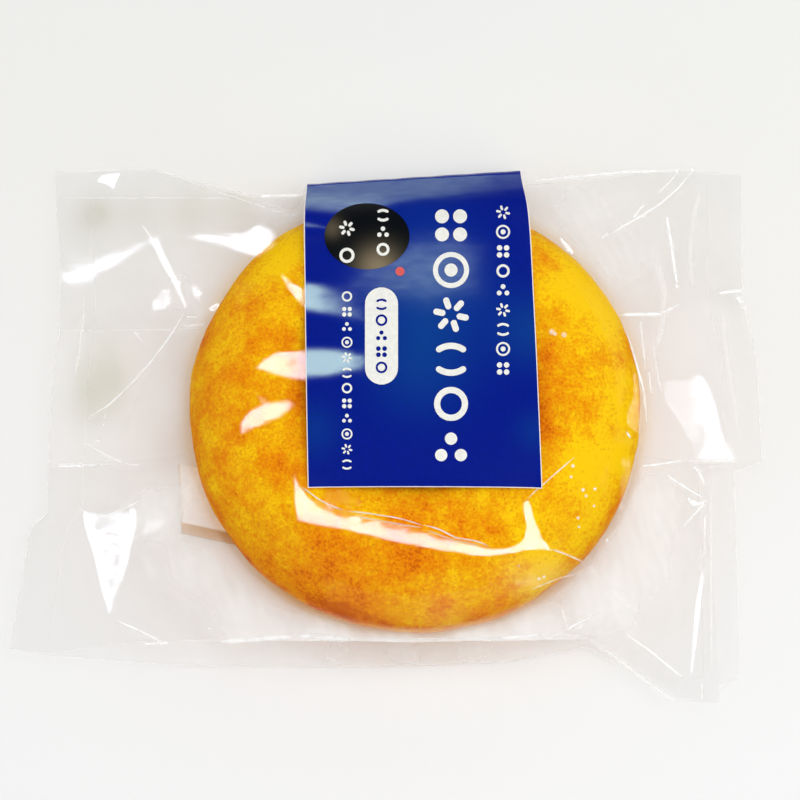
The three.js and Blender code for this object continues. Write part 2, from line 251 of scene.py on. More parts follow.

# How milky the film is all over, how streaky its areas are, where it turns clear over the doughnut's rim,
# how much of its whiteness casts shade, and how milky the near folded side is beside the front panel, which
# partly paints light into the shade below the doughnut.
MILK_ALL_OVER = 0.03
MILK_STREAKS = 0.25
CLEAR_SHARE = 0.995
CLEAR_BLUR = 0.055
MILKY_SHADOW = 0.25
NEAR_SIDE_TONE = 0.35

# Milky areas of the film over the doughnut's rim, partly the film's milkiness and partly painted sheen.
VEILS = {
    "low_right": (520, 580, 20, 0.07), "low_right_far": (552, 580, 20, 0.08),
    "near_rim_right": (444, 612, 22, 0.03)}

# Where the doughnut shows, in pixels: its middle and how far it reaches. The back film is painted with the
# crust's reflection and shade in a band along its rim: the band's width, as a share of the reach, and its
# strength by rows of pixels.
CRUST_MIDDLE = (415.0, 413.5)
CRUST_REACH = (225.0, 214.5)
PAINTED_REFLECTION_WIDTH = 0.045
PAINTED_REFLECTION_SHARES = ([560, 612], [0.25, 1])

# Painted glints on the front film, as small white spots: the middle and radius in pixels, and how solid
# each is.
PAINTED_GLINTS = [
    (552, 332, 3.6, 0.45), (555, 334, 2.6, 0.5), (564, 335, 3.4, 0.45), (573, 466, 2.2, 0.8),
    (571, 477, 1.8, 0.7), (583, 490, 2.2, 0.9), (586, 496, 1.8, 0.8), (595, 489, 2.0, 0.9),
    (594, 506, 1.8, 0.9), (578, 518, 2.0, 0.8), (607, 540, 1.8, 0.9), (539, 579, 2.2, 0.8),
    (544, 577, 2.0, 0.8), (677, 171, 3.0, 0.9), (692, 170, 2.6, 0.9), (677, 286, 3.2, 0.9),
    (105, 417, 2.2, 0.8), (103, 425, 1.8, 0.7), (99, 441, 2.0, 0.8), (605, 236, 2.6, 0.8),
    (642, 207, 2.4, 0.7), (743, 305, 2.6, 0.8), (158, 643, 3.0, 0.9), (579, 527, 1.6, 0.6),
    (519, 566, 1.6, 0.4)]

# Creases and folds of the film, whose highlights are painted as white ribbons: the ribbon's width in
# pixels, how solid it is, and its line in pixels.
CREASES = {
    "left_curve": (2.4, 0.9, [
        (186, 308), (178, 324), (166, 342), (150, 363), (130, 385), (109, 405), (85, 420)]),
    "left_tip": (2.4, 0.6, [(142, 225), (154, 241)]),
    "left_dash": (2.6, 0.6, [(182, 326), (206, 325)]),
    "far_dash": (2.6, 0.5, [(184, 317), (200, 317)]),
    "far_left_brown": (2.4, 0.3, [(202, 187), (225, 194), (249, 202), (275, 211), (297, 218)]),
    "far_left_back": (4.0, 0.9, [(257, 196.5), (280, 195.5), (305, 195.5)]),
    "far_left_band": (2.0, 0.25, [(57, 198), (210, 198), (243, 199)]),
    "left_seal_fold": (3.0, 0.3, [(85, 296), (83, 320), (80, 350), (75, 377)]),
    "left_low_curve": (2.4, 0.85, [(82, 442), (95, 449), (111, 458), (126, 464), (142, 466)]),
    "left_low_dash": (2.8, 0.9, [(80, 465), (101, 465)]),
    "left_far_fold": (2.0, 0.2, [(82, 331), (120, 330), (204, 330)]),
    "left_near_fold": (2.0, 0.25, [(46, 464), (141, 464)]),
    "near_left_crease": (2.8, 0.9, [(115, 620), (138, 630), (163, 642)]),
    "near_left_tip": (3.4, 1.0, [(143, 644), (170, 643)]),
    "near_rim_left": (5.6, 1.0, [(219, 641.5), (247, 640), (272, 638), (297, 636.5)]),
    "near_rim_middle": (7.0, 1.0, [(296, 636), (308, 636), (325, 637), (352, 640)]),
    "near_rim_right": (2.6, 0.6, [(350, 639), (440, 639), (500, 638)]),
    "near_rim_bright": (3.6, 1.0, [(498, 638), (520, 637), (543, 634)]),
    "near_rim_end": (2.4, 0.5, [(540, 635), (590, 636)]),
    "triangle_top": (2.6, 0.8, [(83, 510), (97, 516), (112, 514), (128, 507), (136, 503), (141, 498)]),
    "crust_side_glint": (2.6, 0.8, [(626, 431), (631, 439)]),
    "far_right_rim": (3.2, 0.9, [(524, 182), (574, 177), (627, 172), (681, 170.5)]),
    "right_wrinkle": (3.0, 0.75, [
        (693, 170), (679, 188), (660, 204), (640, 217), (622, 227), (601, 239)]),
    "right_wrinkle_dash": (3.0, 0.7, [(632, 220), (643, 205)]),
    "right_wrinkle_low": (4.0, 0.8, [(600, 239), (610, 232)]),
    "right_wrinkle_mid": (3.0, 0.5, [(636, 217), (648, 216)]),
    "right_wrinkle_far": (3.4, 0.5, [(676, 174), (668, 184), (655, 196)]),
    "right_crease": (3.6, 0.8, [(666, 214), (670, 236), (673, 255), (676, 280)]),
    "right_fold_wide": (9.0, 0.28, [(655, 250), (664, 290), (662, 330), (655, 352)]),
    "right_dash": (4.0, 1.0, [(718, 293), (744, 290.5)]),
    "right_tick": (4.4, 0.95, [(736, 296), (742, 303), (746, 311)]),
    "right_far_fold": (4.0, 1.0, [(620, 315), (645, 314.5), (664, 314)]),
    "right_far_fold_faint": (4.0, 0.5, [(658, 314), (671, 309), (681, 303)]),
    "right_fold_a": (3.0, 0.4, [(640, 318), (646, 372)]),
    "right_fold_b": (4.0, 0.3, [(652, 336), (655, 360), (662, 395)]),
    "right_fold_c": (7.0, 0.25, [(700, 190), (692, 225), (690, 262), (694, 290)]),
    "right_fold_d": (6.0, 0.2, [(722, 310), (726, 350), (733, 395), (738, 430)]),
    "crust_side": (3.0, 0.8, [(627, 333), (636, 362), (644, 391), (647, 424)]),
    "crust_side_short": (2.4, 0.5, [(649, 370), (650, 383), (652, 396)]),
    "flap_near_edge": (3.2, 0.9, [(640, 466.5), (662, 464), (684, 460)]),
    "flap_far_part": (3.0, 0.5, [(684, 461), (738, 461)]),
    "step_crease": (2.6, 0.95, [(665, 474), (683, 486), (706, 500)]),
    "step_crease_far": (4.6, 1.0, [(693, 465), (700, 474), (705, 486)]),
    "step_crease_near": (3.4, 0.85, [(706, 502), (682, 528)]),
    "right_low_fold": (3.0, 0.6, [(705, 512), (705, 536), (704, 560)]),
    "near_right_diagonal": (3.0, 0.9, [(624, 633), (649, 650), (667, 665), (684, 679)]),
    "near_right_upper": (3.4, 0.9, [(564, 632), (578, 623), (595, 615)]),
    "near_right_tick": (2.4, 0.7, [(562, 608), (565, 620), (568, 630)]),
    "near_right_edge": (4.0, 0.35, [(587, 640), (610, 653), (634, 672), (663, 694), (675, 702)]),
    "near_right_band": (2.6, 0.5, [(702, 683), (702, 702)]),
    "near_right_strip": (3.0, 0.25, [(711, 470), (711, 680)]),
    "near_right_soft": (10.0, 0.2, [(585, 560), (610, 590), (640, 615)]),
    "sweep_line": (1.8, 0.55, [(526, 501), (530, 496), (546, 482), (563, 467), (576, 456)]),
    "crust_low_line": (2.4, 0.55, [(551, 549), (568, 555), (585, 563)]),
    "crust_low_fold": (2.0, 0.4, [(585, 572), (560, 578), (530, 590)]),
    "streak_top": (1.6, 0.55, [(300, 486), (309, 492), (318, 499), (331, 506), (346, 511)]),
    "streak_a": (1.8, 0.6, [(345, 511), (366, 513), (385, 516), (398, 518), (412, 522), (424, 526)]),
    "streak_b": (1.5, 0.5, [(350, 516), (370, 519), (392, 523), (410, 526), (424, 528)]),
    "streak_c": (2.2, 0.6, [
        (423, 525), (436, 528), (447, 533), (455, 538), (470, 540), (480, 542), (491, 548)]),
    "streak_d": (1.5, 0.5, [(426, 530), (440, 535), (452, 540), (468, 543), (484, 547)])}
CREASE_LIFT = 0.06
CREASE_SPACING = 3.0
CREASE_LANES = 7

# The beads along the film's edges and seals, and a shift that gives a second set of noise.
EDGE_WIDTH = 0.13
SEAL_COLUMN = 6
SHIFT = Vector((31.0, 17.0, 5.0))

# The floor: its height, half its width, its colour behind and before the part, painted lighter in front,
# and soft ovals of painted light that lift the shade round the part: the middle and reach in millimetres,
# and how much.
FLOOR_LEVEL = -0.02
FLOOR_HALF = 3000.0
FLOOR_FAR = (0.812, 0.812, 0.802)
FLOOR_NEAR = (0.842, 0.848, 0.856)
FLOOR_PAINTED_LIGHT = [
    ((4.0, 0.0), (68.0, 66.0), (0.045, 0.05, 0.05)), ((4.0, -42.0), (54.0, 20.0), (0.02, 0.04, 0.045)),
    ((6.0, 58.0), (60.0, 30.0), (0.04, 0.04, 0.025))]

# The front label: its middle along X, its width, its near edge, how it leans, how far it goes on under the
# back, its gap to the film, how it passes the far edge and how far down it goes. The border is bare paper,
# and the reach is where the film's far edge lies under it.
FRONT_LABEL = {
    "x": 5.97, "width": 40.0, "near": -19.0, "lean": -0.026, "back": 12.0, "gap": 0.12, "edge_in": 0.2,
    "wall_out": 0.3, "bulge": 0.5, "under": 0.35}
LABEL_CELLS = (61, 150)
WALL_ROWS = 8
UNDER_ROWS = 12
LABEL_REACH = (-16.0, 24.4)
LABEL_THICKNESS = 0.13
LABEL_BORDER = 0.13
LABEL_STIFFNESS = 25.0

# The back sticker: three corners in pixels, its height and thickness, and the strip along its near edge
# that carries its painted shadow: how wide it is, how blurred, how much the shadow fades outwards, and how
# dark the painted shade on the sticker's left end is beside it.
BACK_LABEL = {"near_left": (181.0, 522.0), "far_left": (178.0, 464.0), "near_right": (390.0, 568.0)}
STICKER_CELLS = (70, 30)
BACK_LABEL_LEVEL = 0.22
BACK_LABEL_THICKNESS = 0.2
STICKER_SHADOW_STRIP = 2.1
SHADOW_STRIP_BLUR = 0.2
SHADOW_STRIP_FADING = 0.15
STICKER_END_SHADE = 0.55

# Haze on the front label: how far it misses the lamp in radians, its blur, and its outline in pixels.
LABEL_CLEARANCE = 0.42
HAZE_ROUGHNESS = 0.02
HAZE = {
    "top_right": (0.3, 6.0, [(420, 176), (575, 160), (575, 226), (430, 220)]),
    "top_soft": (0.16, 3.0, [
        (262, 120), (570, 110), (570, 192), (500, 196), (470, 199), (440, 205), (400, 210), (345, 218),
        (262, 228)]),
    "top_middle": (0.135, 3.0, [
        (262, 120), (570, 110), (570, 180), (500, 186), (470, 193), (440, 199), (400, 205), (345, 214),
        (262, 222)]),
    "top_band": (0.105, 3.0, [
        (262, 120), (490, 110), (480, 184), (440, 194), (400, 201), (345, 211), (262, 217)]),
    "top_left": (0.078, 3.0, [(262, 195), (330, 197), (380, 198), (384, 206), (346, 213), (262, 216)]),
    "upper_left": (0.1, 1.2, [(290, 222), (318, 221), (336, 226), (330, 233), (290, 236)]),
    "left_streak_soft": (0.066, 1.6, [
        (290, 278), (326, 282), (346, 292), (364, 308), (372, 326), (345, 322), (322, 316), (290, 314)]),
    "left_streak": (0.01, 1.2, [(290, 285), (320, 286), (338, 296), (346, 312), (322, 314), (290, 309)]),
    "left_tail": (0.12, 4.0, [(330, 296), (346, 274), (376, 256), (402, 262), (384, 288), (352, 308)]),
    "left_low_streak_soft": (0.066, 1.6, [
        (290, 346), (340, 346), (368, 350), (374, 362), (366, 376), (290, 383)]),
    "left_low_streak": (0.01, 1.2, [
        (290, 350), (332, 350), (350, 354), (352, 368), (328, 377), (290, 379)]),
    "middle_soft": (0.155, 6.0, [
        (340, 258), (400, 226), (460, 218), (500, 240), (496, 306), (430, 324), (356, 310)]),
    "middle": (0.115, 5.0, [
        (370, 262), (410, 242), (452, 238), (478, 252), (474, 286), (430, 298), (380, 290)])}

# Painted sheen: paler areas of the print's oval and of the label's blue, the middle and radius in pixels,
# and how much.
OVAL_PAINTED_SHEEN = {"low": (378, 268, 20, 0.9), "left": (332, 228, 10, 0.35)}
LABEL_PAINTED_SHEEN = {
    "right_edge": (532, 330, 34, 0.5), "low_right": (536, 430, 20, 0.3), "low_left": (312, 430, 26, 0.35),
    "middle": (430, 300, 60, 0.55), "far": (420, 200, 50, 0.12), "low_middle": (420, 370, 46, 0.4)}

# The print on the front label, in pixels: columns of small shapes, an oval, a pill and a spot.
PRINT_LIFT = 0.035
PRINT_OVER = 1.05
SPOT_CELLS = 6
STROKE_POINTS = 26
COLUMNS = {
    "wide": {
        "x": 451, "first": 226, "last": 449, "count": 6, "size": 41, "line": 6.2,
        "shapes": ["petals", "target", "wheel", "arcs", "ring", "drops"]},
    "right": {
        "x": 503, "first": 213, "last": 369, "count": 9, "size": 16, "line": 2.4,
        "shapes": ["wheel", "target", "petals", "ring", "drops", "wheel", "arcs", "target", "petals"]},
    "left": {
        "x": 347, "first": 297, "last": 465, "count": 12, "size": 12.5, "line": 1.9,
        "shapes": ["ring", "petals", "drops", "target", "wheel", "arcs"]}}
OVAL = {"middle": (367, 237), "width": 85, "height": 66}
OVAL_COLUMNS = {
    "right": {"x": 383, "first": 216, "last": 250, "count": 3, "size": 15, "line": 2.8,
              "shapes": ["arcs", "drops", "ring"]},
    "left": {"x": 347, "first": 229, "last": 256, "count": 2, "size": 18, "line": 3.0,
             "shapes": ["wheel", "ring"]}}
PILL = {"x": 381.5, "top": 288, "bottom": 385, "width": 33}
PILL_COLUMN = {"x": 381.5, "first": 305, "last": 368, "count": 5, "size": 14, "line": 2.2,
               "shapes": ["arcs", "ring", "drops", "petals", "ring"]}
SPOT = {"middle": (400, 272), "width": 9, "height": 9}

# Lighter and darker areas of the crust: the middle and radius in pixels, and how much lighter.
CRUST_AREAS = {
    "low_middle": (425, 566, 44, -0.34), "beside_label": (550, 400, 24, -0.14),
    "beside_label_far": (549, 275, 12, -0.2), "left_spot": (251, 341, 10, -0.3),
    "upper_left": (286, 250, 28, 0.4), "left_upper_side": (226, 330, 22, -0.36),
    "upper_middle": (258, 290, 20, -0.12), "under_label": (440, 503, 26, 0.3),
    "under_label_right": (496, 506, 14, -0.26), "right_yellow": (603, 462, 34, 0.6),
    "right_side": (602, 400, 20, 0.2), "far_right_yellow": (588, 285, 40, 0.7),
    "right_rim": (618, 370, 30, 0.16), "sweep_left": (276, 505, 16, 0.2),
    "low_left": (290, 564, 42, -0.24), "bottom_left": (350, 580, 36, -0.3),
    "bottom": (360, 604, 30, -0.24), "bottom_light": (430, 606, 34, 0.2),
    "low_left_light": (250, 450, 12, 0.2), "left_low_spot": (220, 460, 18, -0.2),
    "label_left": (285, 440, 14, -0.2), "left_side": (216, 412, 34, -0.32),
    "left_light": (262, 378, 24, 0.26), "left_upper_light": (264, 330, 18, 0.2),
    "right_low": (585, 535, 34, 0.2), "left_low_side": (246, 506, 16, -0.2),
    "label_right_low": (556, 440, 20, -0.2), "under_sweep": (340, 560, 26, -0.14),
    "low_right_light": (542, 574, 30, 0.5), "upper_left_light": (224, 292, 18, 0.34),
    "right_rim_light": (622, 330, 18, 0.26)}

# The crust's lightness on rings round the doughnut's middle and below its widest height, how uneven it is,
# the scale, detail, roughness and strength of its mottling, and its colours from dark to light.
CRUST_RINGS = ([20, 30, 35, 38.5, 40.4], [0.62, 0.64, 0.74, 0.66, 0.45])
FOOT_TONES = [0.3, 0.45]
CRUST_UNEVEN = [(8, 0.3), (3.5, 0.16)]
CRUST_MOTTLING = [(150.0, 5.0, 0.62, 1.35), (520.0, 3.0, 0.65, 0.9), (2000.0, 2.0, 0.6, 1.3)]
CRUST_COLORS = [
    (0.0, (0.60, 0.12, 0.002)), (0.2, (0.76, 0.20, 0.002)), (0.4, (0.80, 0.27, 0.002)),
    (0.6, (0.83, 0.36, 0.002)), (0.8, (0.87, 0.45, 0.003)), (1.0, (0.92, 0.57, 0.004))]

FIELD_COLUMNS = np.arange(-FIELD_X, FIELD_X + STEP / 2, STEP)
FIELD_ROWS = np.arange(-FIELD_Y, FIELD_Y + STEP / 2, STEP)
FIELD_PLACES = np.meshgrid(FIELD_COLUMNS, FIELD_ROWS, indexing="ij")


def side_at(side, place, along):
    """The other coordinate of a side at places along it."""
    return np.interp(place, side[:, along], side[:, 1 - along])


def spread(x, y, near_side, far_side):
    """The places of a plain rectangle's points once its four sides have their true outline."""
    plain = ((PLAIN["left"], PLAIN["right"]), (PLAIN["near"], PLAIN["far"]))
    sides = ((LEFT_SIDE, RIGHT_SIDE), (near_side, far_side))
    place, out, shares = (x, y), [x, y], ([], [])
    for axis, other in ((0, 1), (1, 0)):
        low, high = plain[other]
        inner = [low + FELT[other], high - FELT[other]]
        for end, side in zip(plain[axis], sides[axis]):
            share = np.clip(1 - np.abs(place[axis] - end) / FELT[axis], 0, 1)
            along = np.interp(
                place[other], [low, *inner, high], [side[0, other], *inner, side[-1, other]])
            out[axis] = out[axis] + share * (side_at(side, along, other) - end)
            out[other] = out[other] + share * (along - place[other])
            shares[axis].append(share)
    for i, j in ((0, 0), (1, 0), (0, 1), (1, 1)):
        share, corner = shares[0][i] * shares[1][j], sides[1][j][-i]
        for axis, end in ((0, plain[0][i]), (1, plain[1][j])):
            out[axis] = out[axis] - share * (corner[axis] - end)
    return out


def profile_height(radius, upper):
    """Heights of the doughnut's upper or lower side at distances from its middle, far off outside it."""
    crown, inner = (CROWN_RADIUS, CROWN_RADIUS) if upper else (FOOT_RADIUS, INNER_FOOT_RADIUS)
    outward = np.clip((radius - crown) / (DOUGHNUT_RADIUS - crown), 0, 1)
    inward = np.clip((inner - radius) / (inner - HOLE_RADIUS), 0, 1)
    share = np.sqrt(1 - np.maximum(outward, inward) ** ROUNDNESS)
    reach = DOUGHNUT_HEIGHT if upper else FOOT_LEVEL
    height = WIDEST_HEIGHT + (reach - WIDEST_HEIGHT) * share
    on_ring = (radius < DOUGHNUT_RADIUS) & (radius > HOLE_RADIUS)
    return np.where(on_ring, height, -FAR_OFF if upper else FAR_OFF)


def from_middle(x, y):
    """How far places lie from the doughnut's middle."""
    return np.hypot(x - DOUGHNUT[0], y - DOUGHNUT[1])


def relaxed(held, start, lower, upper, stiff=1.0, air=0.0):
    """Heights of a film pulled taut between the points that are held, from a coarse grid to the fine one.

    stiff is how firmly the film keeps level along X, lower and upper are what it stays between, and air is
    the push that bulges it up.
    """
    stiffness = [stiff + np.zeros_like(start), np.ones_like(start)]
    height = start[::8, ::8].copy()
    for stride in (8, 4, 2, 1):
        pick = (slice(None, None, stride), slice(None, None, stride))
        if stride < 8:
            height = refined(height)
        here = held[pick]
        height[here] = start[pick][here]
        ways = []
        for axis, step in ((0, 1), (0, -1), (1, 1), (1, -1)):
            node = stiffness[axis][pick]
            ways.append((axis, step, np.minimum(node, np.roll(node, -step, axis))))
        total = sum(way[2] for way in ways)
        lift = air * (STEP * stride) ** 2
        checks = np.indices(height.shape).sum(0) % 2
        free = [(checks == colour) & ~here for colour in (0, 1)]
        for each in free:
            each[[0, -1]] = False
            each[:, [0, -1]] = False
        low, high = lower[pick], upper[pick]
        for _ in range(SWEEPS):
            for each in free:
                near = sum(share * np.roll(height, -step, axis) for axis, step, share in ways)
                wanted = height + OVERSHOOT * ((near + lift) / total - height)
                height = np.where(each, np.clip(wanted, low, high), height)
    return height


def refined(coarse):
    """A grid of heights with a new line halfway between each two."""
    fine = np.empty((2 * coarse.shape[0] - 1, 2 * coarse.shape[1] - 1))
    fine[::2, ::2] = coarse
    fine[1::2, ::2] = (coarse[1:] + coarse[:-1]) / 2
    fine[:, 1::2] = (fine[:, 2::2] + fine[:, :-1:2]) / 2
    return fine


def sampled(field, x, y):
    """A field of the square grid read at any places, smoothly between its points."""
    total = 0.0
    across, along = (x + FIELD_X) / STEP, (y + FIELD_Y) / STEP
    i = np.clip(np.floor(across).astype(int), 1, field.shape[0] - 3)
    j = np.clip(np.floor(along).astype(int), 1, field.shape[1] - 3)
    for di, share_i in enumerate(cubic_shares(across - i)):
        for dj, share_j in enumerate(cubic_shares(along - j)):
            total = total + share_i * share_j * field[i + di - 1, j + dj - 1]
    return total


def cubic_shares(t):
    """How much each of four neighbours counts at a share of the way from the second to the third."""
    return [
        (-t + 2 * t ** 2 - t ** 3) / 2, (2 - 5 * t ** 2 + 3 * t ** 3) / 2,
        (t + 4 * t ** 2 - 3 * t ** 3) / 2, (t ** 3 - t ** 2) / 2]


def closed_places(near_side, far_side):
    """Which points of the square grid lie on the sealed ends or outside a panel."""
    x, y = FIELD_PLACES
    ends = (x < side_at(LEFT_SIDE, y, 1) + SEAL_WIDTH) | (x > side_at(RIGHT_SIDE, y, 1) - SEAL_WIDTH)
    return ends | (y < side_at(near_side, x, 0)) | (y > side_at(far_side, x, 0))


def edge_heights(near_side, far_side, near_height, far_height):
    """Heights of the edges of a panel, carried on over the whole square grid."""
    x, y = FIELD_PLACES
    near_y, far_y = side_at(near_side, x, 0), side_at(far_side, x, 0)
    share = np.clip((y - near_y) / (far_y - near_y), 0, 1)
    edges = side_at(near_height, x, 0) * (1 - share) + side_at(far_height, x, 0) * share
    into_left = (x - side_at(LEFT_SIDE, y, 1)) / SEAL_WIDTH
    into_right = (side_at(RIGHT_SIDE, y, 1) - x) / SEAL_WIDTH
    open_share = np.clip((np.minimum(into_left, into_right) - 1) / OPENING, 0, 1)
    return END_HEIGHT + (edges - END_HEIGHT) * open_share


def level_places(pixels, height):
    """The places at one height that show at pixels of the photograph."""
    right, up = (np.asarray(pixels, float) - IMAGE / 2).T / FOCAL_PIXELS
    ray = LOOK + right[:, None] * [1.0, 0.0, 0.0] - up[:, None] * IMAGE_UP
    return EYE + ((height - EYE[2]) / ray[:, 2])[:, None] * ray


def sticker_corners():
    """The corners of the back sticker: near left, near right, far right and far left."""
    near_left, far_left, near_right = level_places(
        [BACK_LABEL[name] for name in ("near_left", "far_left", "near_right")], BACK_LABEL_LEVEL)
    return np.array([near_left, near_right, near_right + far_left - near_left, far_left])


def sticker_lift(x, y):
    """How far the back film is lifted by the sticker under it."""
    share = coverage(sticker_corners()[:, :2], x, y, STICKER_BLUR)
    return STICKER_LIFT * np.clip(3 * share, 0, 1)


def on_film(pixels, field):
    """The places of a film that show at pixels of the photograph."""
    height = np.full(len(pixels), SIGHT_START)
    for _ in range(SIGHT_ROUNDS):
        place = level_places(pixels, height)
        height = sampled(field, place[:, 0], place[:, 1])
    return np.column_stack([place[:, :2], height])


def seen_at(places):
    """The pixels of the photograph where places show."""
    away = places - EYE
    depth = away @ LOOK
    return IMAGE / 2 + FOCAL_PIXELS / depth[:, None] * np.column_stack([away[:, 0], -away @ IMAGE_UP])


def coverage(outline, x, y, blur):
    """How far places lie inside an outline, from 0 outside to 1 inside, with a soft edge."""
    low, high = outline.min(axis=0) - blur, outline.max(axis=0) + blur
    near = (x > low[0]) & (x < high[0]) & (y > low[1]) & (y < high[1])
    px, py = x[near], y[near]
    distance, within = np.full(px.shape, np.inf), np.zeros(px.shape, bool)
    for (ax, ay), (bx, by) in zip(outline, np.roll(outline, -1, axis=0)):
        dx, dy = bx - ax, by - ay
        t = np.clip(((px - ax) * dx + (py - ay) * dy) / max(dx * dx + dy * dy, TINY), 0, 1)
        distance = np.minimum(distance, np.hypot(px - ax - t * dx, py - ay - t * dy))
        if dy:
            within ^= ((ay > py) != (by > py)) & (px < ax + (py - ay) * dx / dy)
    share = np.zeros(x.shape)
    share[near] = np.clip(0.5 + np.where(within, distance, -distance) / (2 * blur), 0, 1)
    return share


def unit(vectors):
    """Vectors made one long."""
    return vectors / np.maximum(np.linalg.norm(vectors, axis=-1, keepdims=True), TINY)


def grid_normals(places):
    """Normals of a grid of places."""
    return unit(np.cross(np.gradient(places, axis=0), np.gradient(places, axis=1)))


def ripples(places):
    """Small uneven tilts of a film, longer along X than along Y."""
    spots = [Vector(place) for place in (places.reshape(-1, 3) / RIPPLE_SIZE).tolist()]
    tilts = [
        (noise.noise(spot) + 0.5 * noise.noise(spot * 2.3), noise.noise(spot + SHIFT)) for spot in spots]
    return np.column_stack([tilts, np.zeros(len(tilts))]).reshape(places.shape)


def streaks(places):
    """Long soft streaks over a film, from -1 to 1."""
    x, y, z = places.reshape(-1, 3).T
    spots = np.column_stack([x + STREAK_LEAN * y, y, z]) / STREAK_SIZE
    spots = [Vector(spot) for spot in spots.tolist()]
    values = [noise.noise(spot) + 0.6 * noise.noise(spot * 2.2 + SHIFT) for spot in spots]
    return np.array(values).reshape(places.shape[:2])


def turned_normals(places, patches, clearance, ripple):
    """Normals of a grid of places that mirror the lamp to the camera in patches and nowhere else.

    A patch is how far it misses the lamp, how uneven it is, how blurred its edge is, and its outline.
    """
    normal = grid_normals(places)
    if ripple:
        clearance = clearance * (1 + STREAKS * streaks(places)[..., None])
    side = np.where(np.sum(normal * (EYE - places), axis=-1, keepdims=True) < 0, -1.0, 1.0)
    mirror = unit(unit(LAMP - places) + unit(EYE - places))
    cosine = np.sum(normal * side * mirror, axis=-1, keepdims=True)
    away = normal * side - cosine * mirror
    size = np.linalg.norm(away, axis=-1, keepdims=True)
    away = np.where(size > 1e-6, unit(away), [0.0, 1.0, 0.0])
    angle = np.hypot(np.arctan2(size, cosine), clearance)
    uneven = ripples(places)
    normal = unit(mirror * np.cos(angle) + away * np.sin(angle) + ripple * uneven)
    for miss, roughness, blur, outline in patches:
        covered = coverage(outline, places[..., 0], places[..., 1], blur)[..., None]
        wanted = unit(mirror + miss * away + roughness * uneven)
        normal = unit(normal + (wanted - normal) * covered)
    return normal * side


def front_film():
    """The front panel: taut over the doughnut and between its edges, and stiff under the label."""
    x, y = FIELD_PLACES
    start = edge_heights(FRONT_NEAR, FRONT_FAR, FRONT_NEAR_HEIGHT, FRONT_FAR_HEIGHT) + END_GAP / 2
    lower = profile_height(from_middle(x, y), True) + FILM_CLEARANCE
    stiff = np.where(under_label(x, y), LABEL_STIFFNESS, 1.0)
    return relaxed(
        closed_places(FRONT_NEAR, FRONT_FAR), start, lower, np.full_like(start, FAR_OFF), stiff, AIR)


def under_label(x, y):
    """Which places the front label covers."""
    near = FRONT_LABEL["near"]
    across = x - FRONT_LABEL["x"] - FRONT_LABEL["lean"] * (y - near)
    return (np.abs(across) < FRONT_LABEL["width"] / 2) & (y > near)


def back_film():
    """The back panel: on the floor and over the sticker, under the doughnut's foot."""
    x, y = FIELD_PLACES
    start = edge_heights(BACK_NEAR, BACK_FAR, BACK_NEAR_HEIGHT, BACK_FAR_HEIGHT) - END_GAP / 2
    lower = LOWEST_FILM + sticker_lift(x, y)
    upper = np.maximum(profile_height(from_middle(x, y), False) - FOOT_CLEARANCE, lower)
    return relaxed(closed_places(BACK_NEAR, BACK_FAR), start, lower, upper, air=-AIR)


def grid_faces(rows, columns, close_rows=False, close_columns=False):
    """Quads over a grid of points, which may close on itself."""
    i, j = np.meshgrid(
        np.arange(rows - (not close_rows)), np.arange(columns - (not close_columns)), indexing="ij")
    k, m = (i + 1) % rows, (j + 1) % columns
    corners = [i * columns + j, k * columns + j, k * columns + m, i * columns + m]
    return np.stack(corners, axis=-1).reshape(-1, 4)


def piece(name, points, faces, *materials, normals=None):
    """A mesh object of the part, from points in millimetres, with its own normals if they are given."""
    mesh = bpy.data.meshes.new(name)
    mesh.from_pydata((np.asarray(points).reshape(-1, 3) * MM).tolist(), [], np.asarray(faces).tolist())
    for material in materials:
        mesh.materials.append(material)
    mesh.polygons.foreach_set("use_smooth", [True] * len(mesh.polygons))
    if normals is not None:
        mesh.normals_split_custom_set_from_vertices(normals.reshape(-1, 3).tolist())
    made = bpy.data.objects.new(name, mesh)
    bpy.context.scene.collection.objects.link(made)
    return made


def film_sheet(name, places, material, patches=(), tone=None):
    """A sheet of film over a grid of places."""
    normals = turned_normals(places, patches, LAMP_CLEARANCE, RIPPLE)
    made = piece(name, places, grid_faces(*places.shape[:2]), material, normals=normals)
    set_tone(made, tone if tone is not None else np.zeros(len(made.data.vertices)))
    return made


def panel_places(near_side, far_side, field, cells):
    """The places of the front or back panel of the bag."""
    x, y = np.meshgrid(
        np.linspace(PLAIN["left"], PLAIN["right"], cells[0]),
        np.linspace(PLAIN["near"], PLAIN["far"], cells[1]), indexing="ij")
    x, y = spread(x, y, near_side, far_side)
    return np.stack([x, y, sampled(field, x, y)], axis=-1)


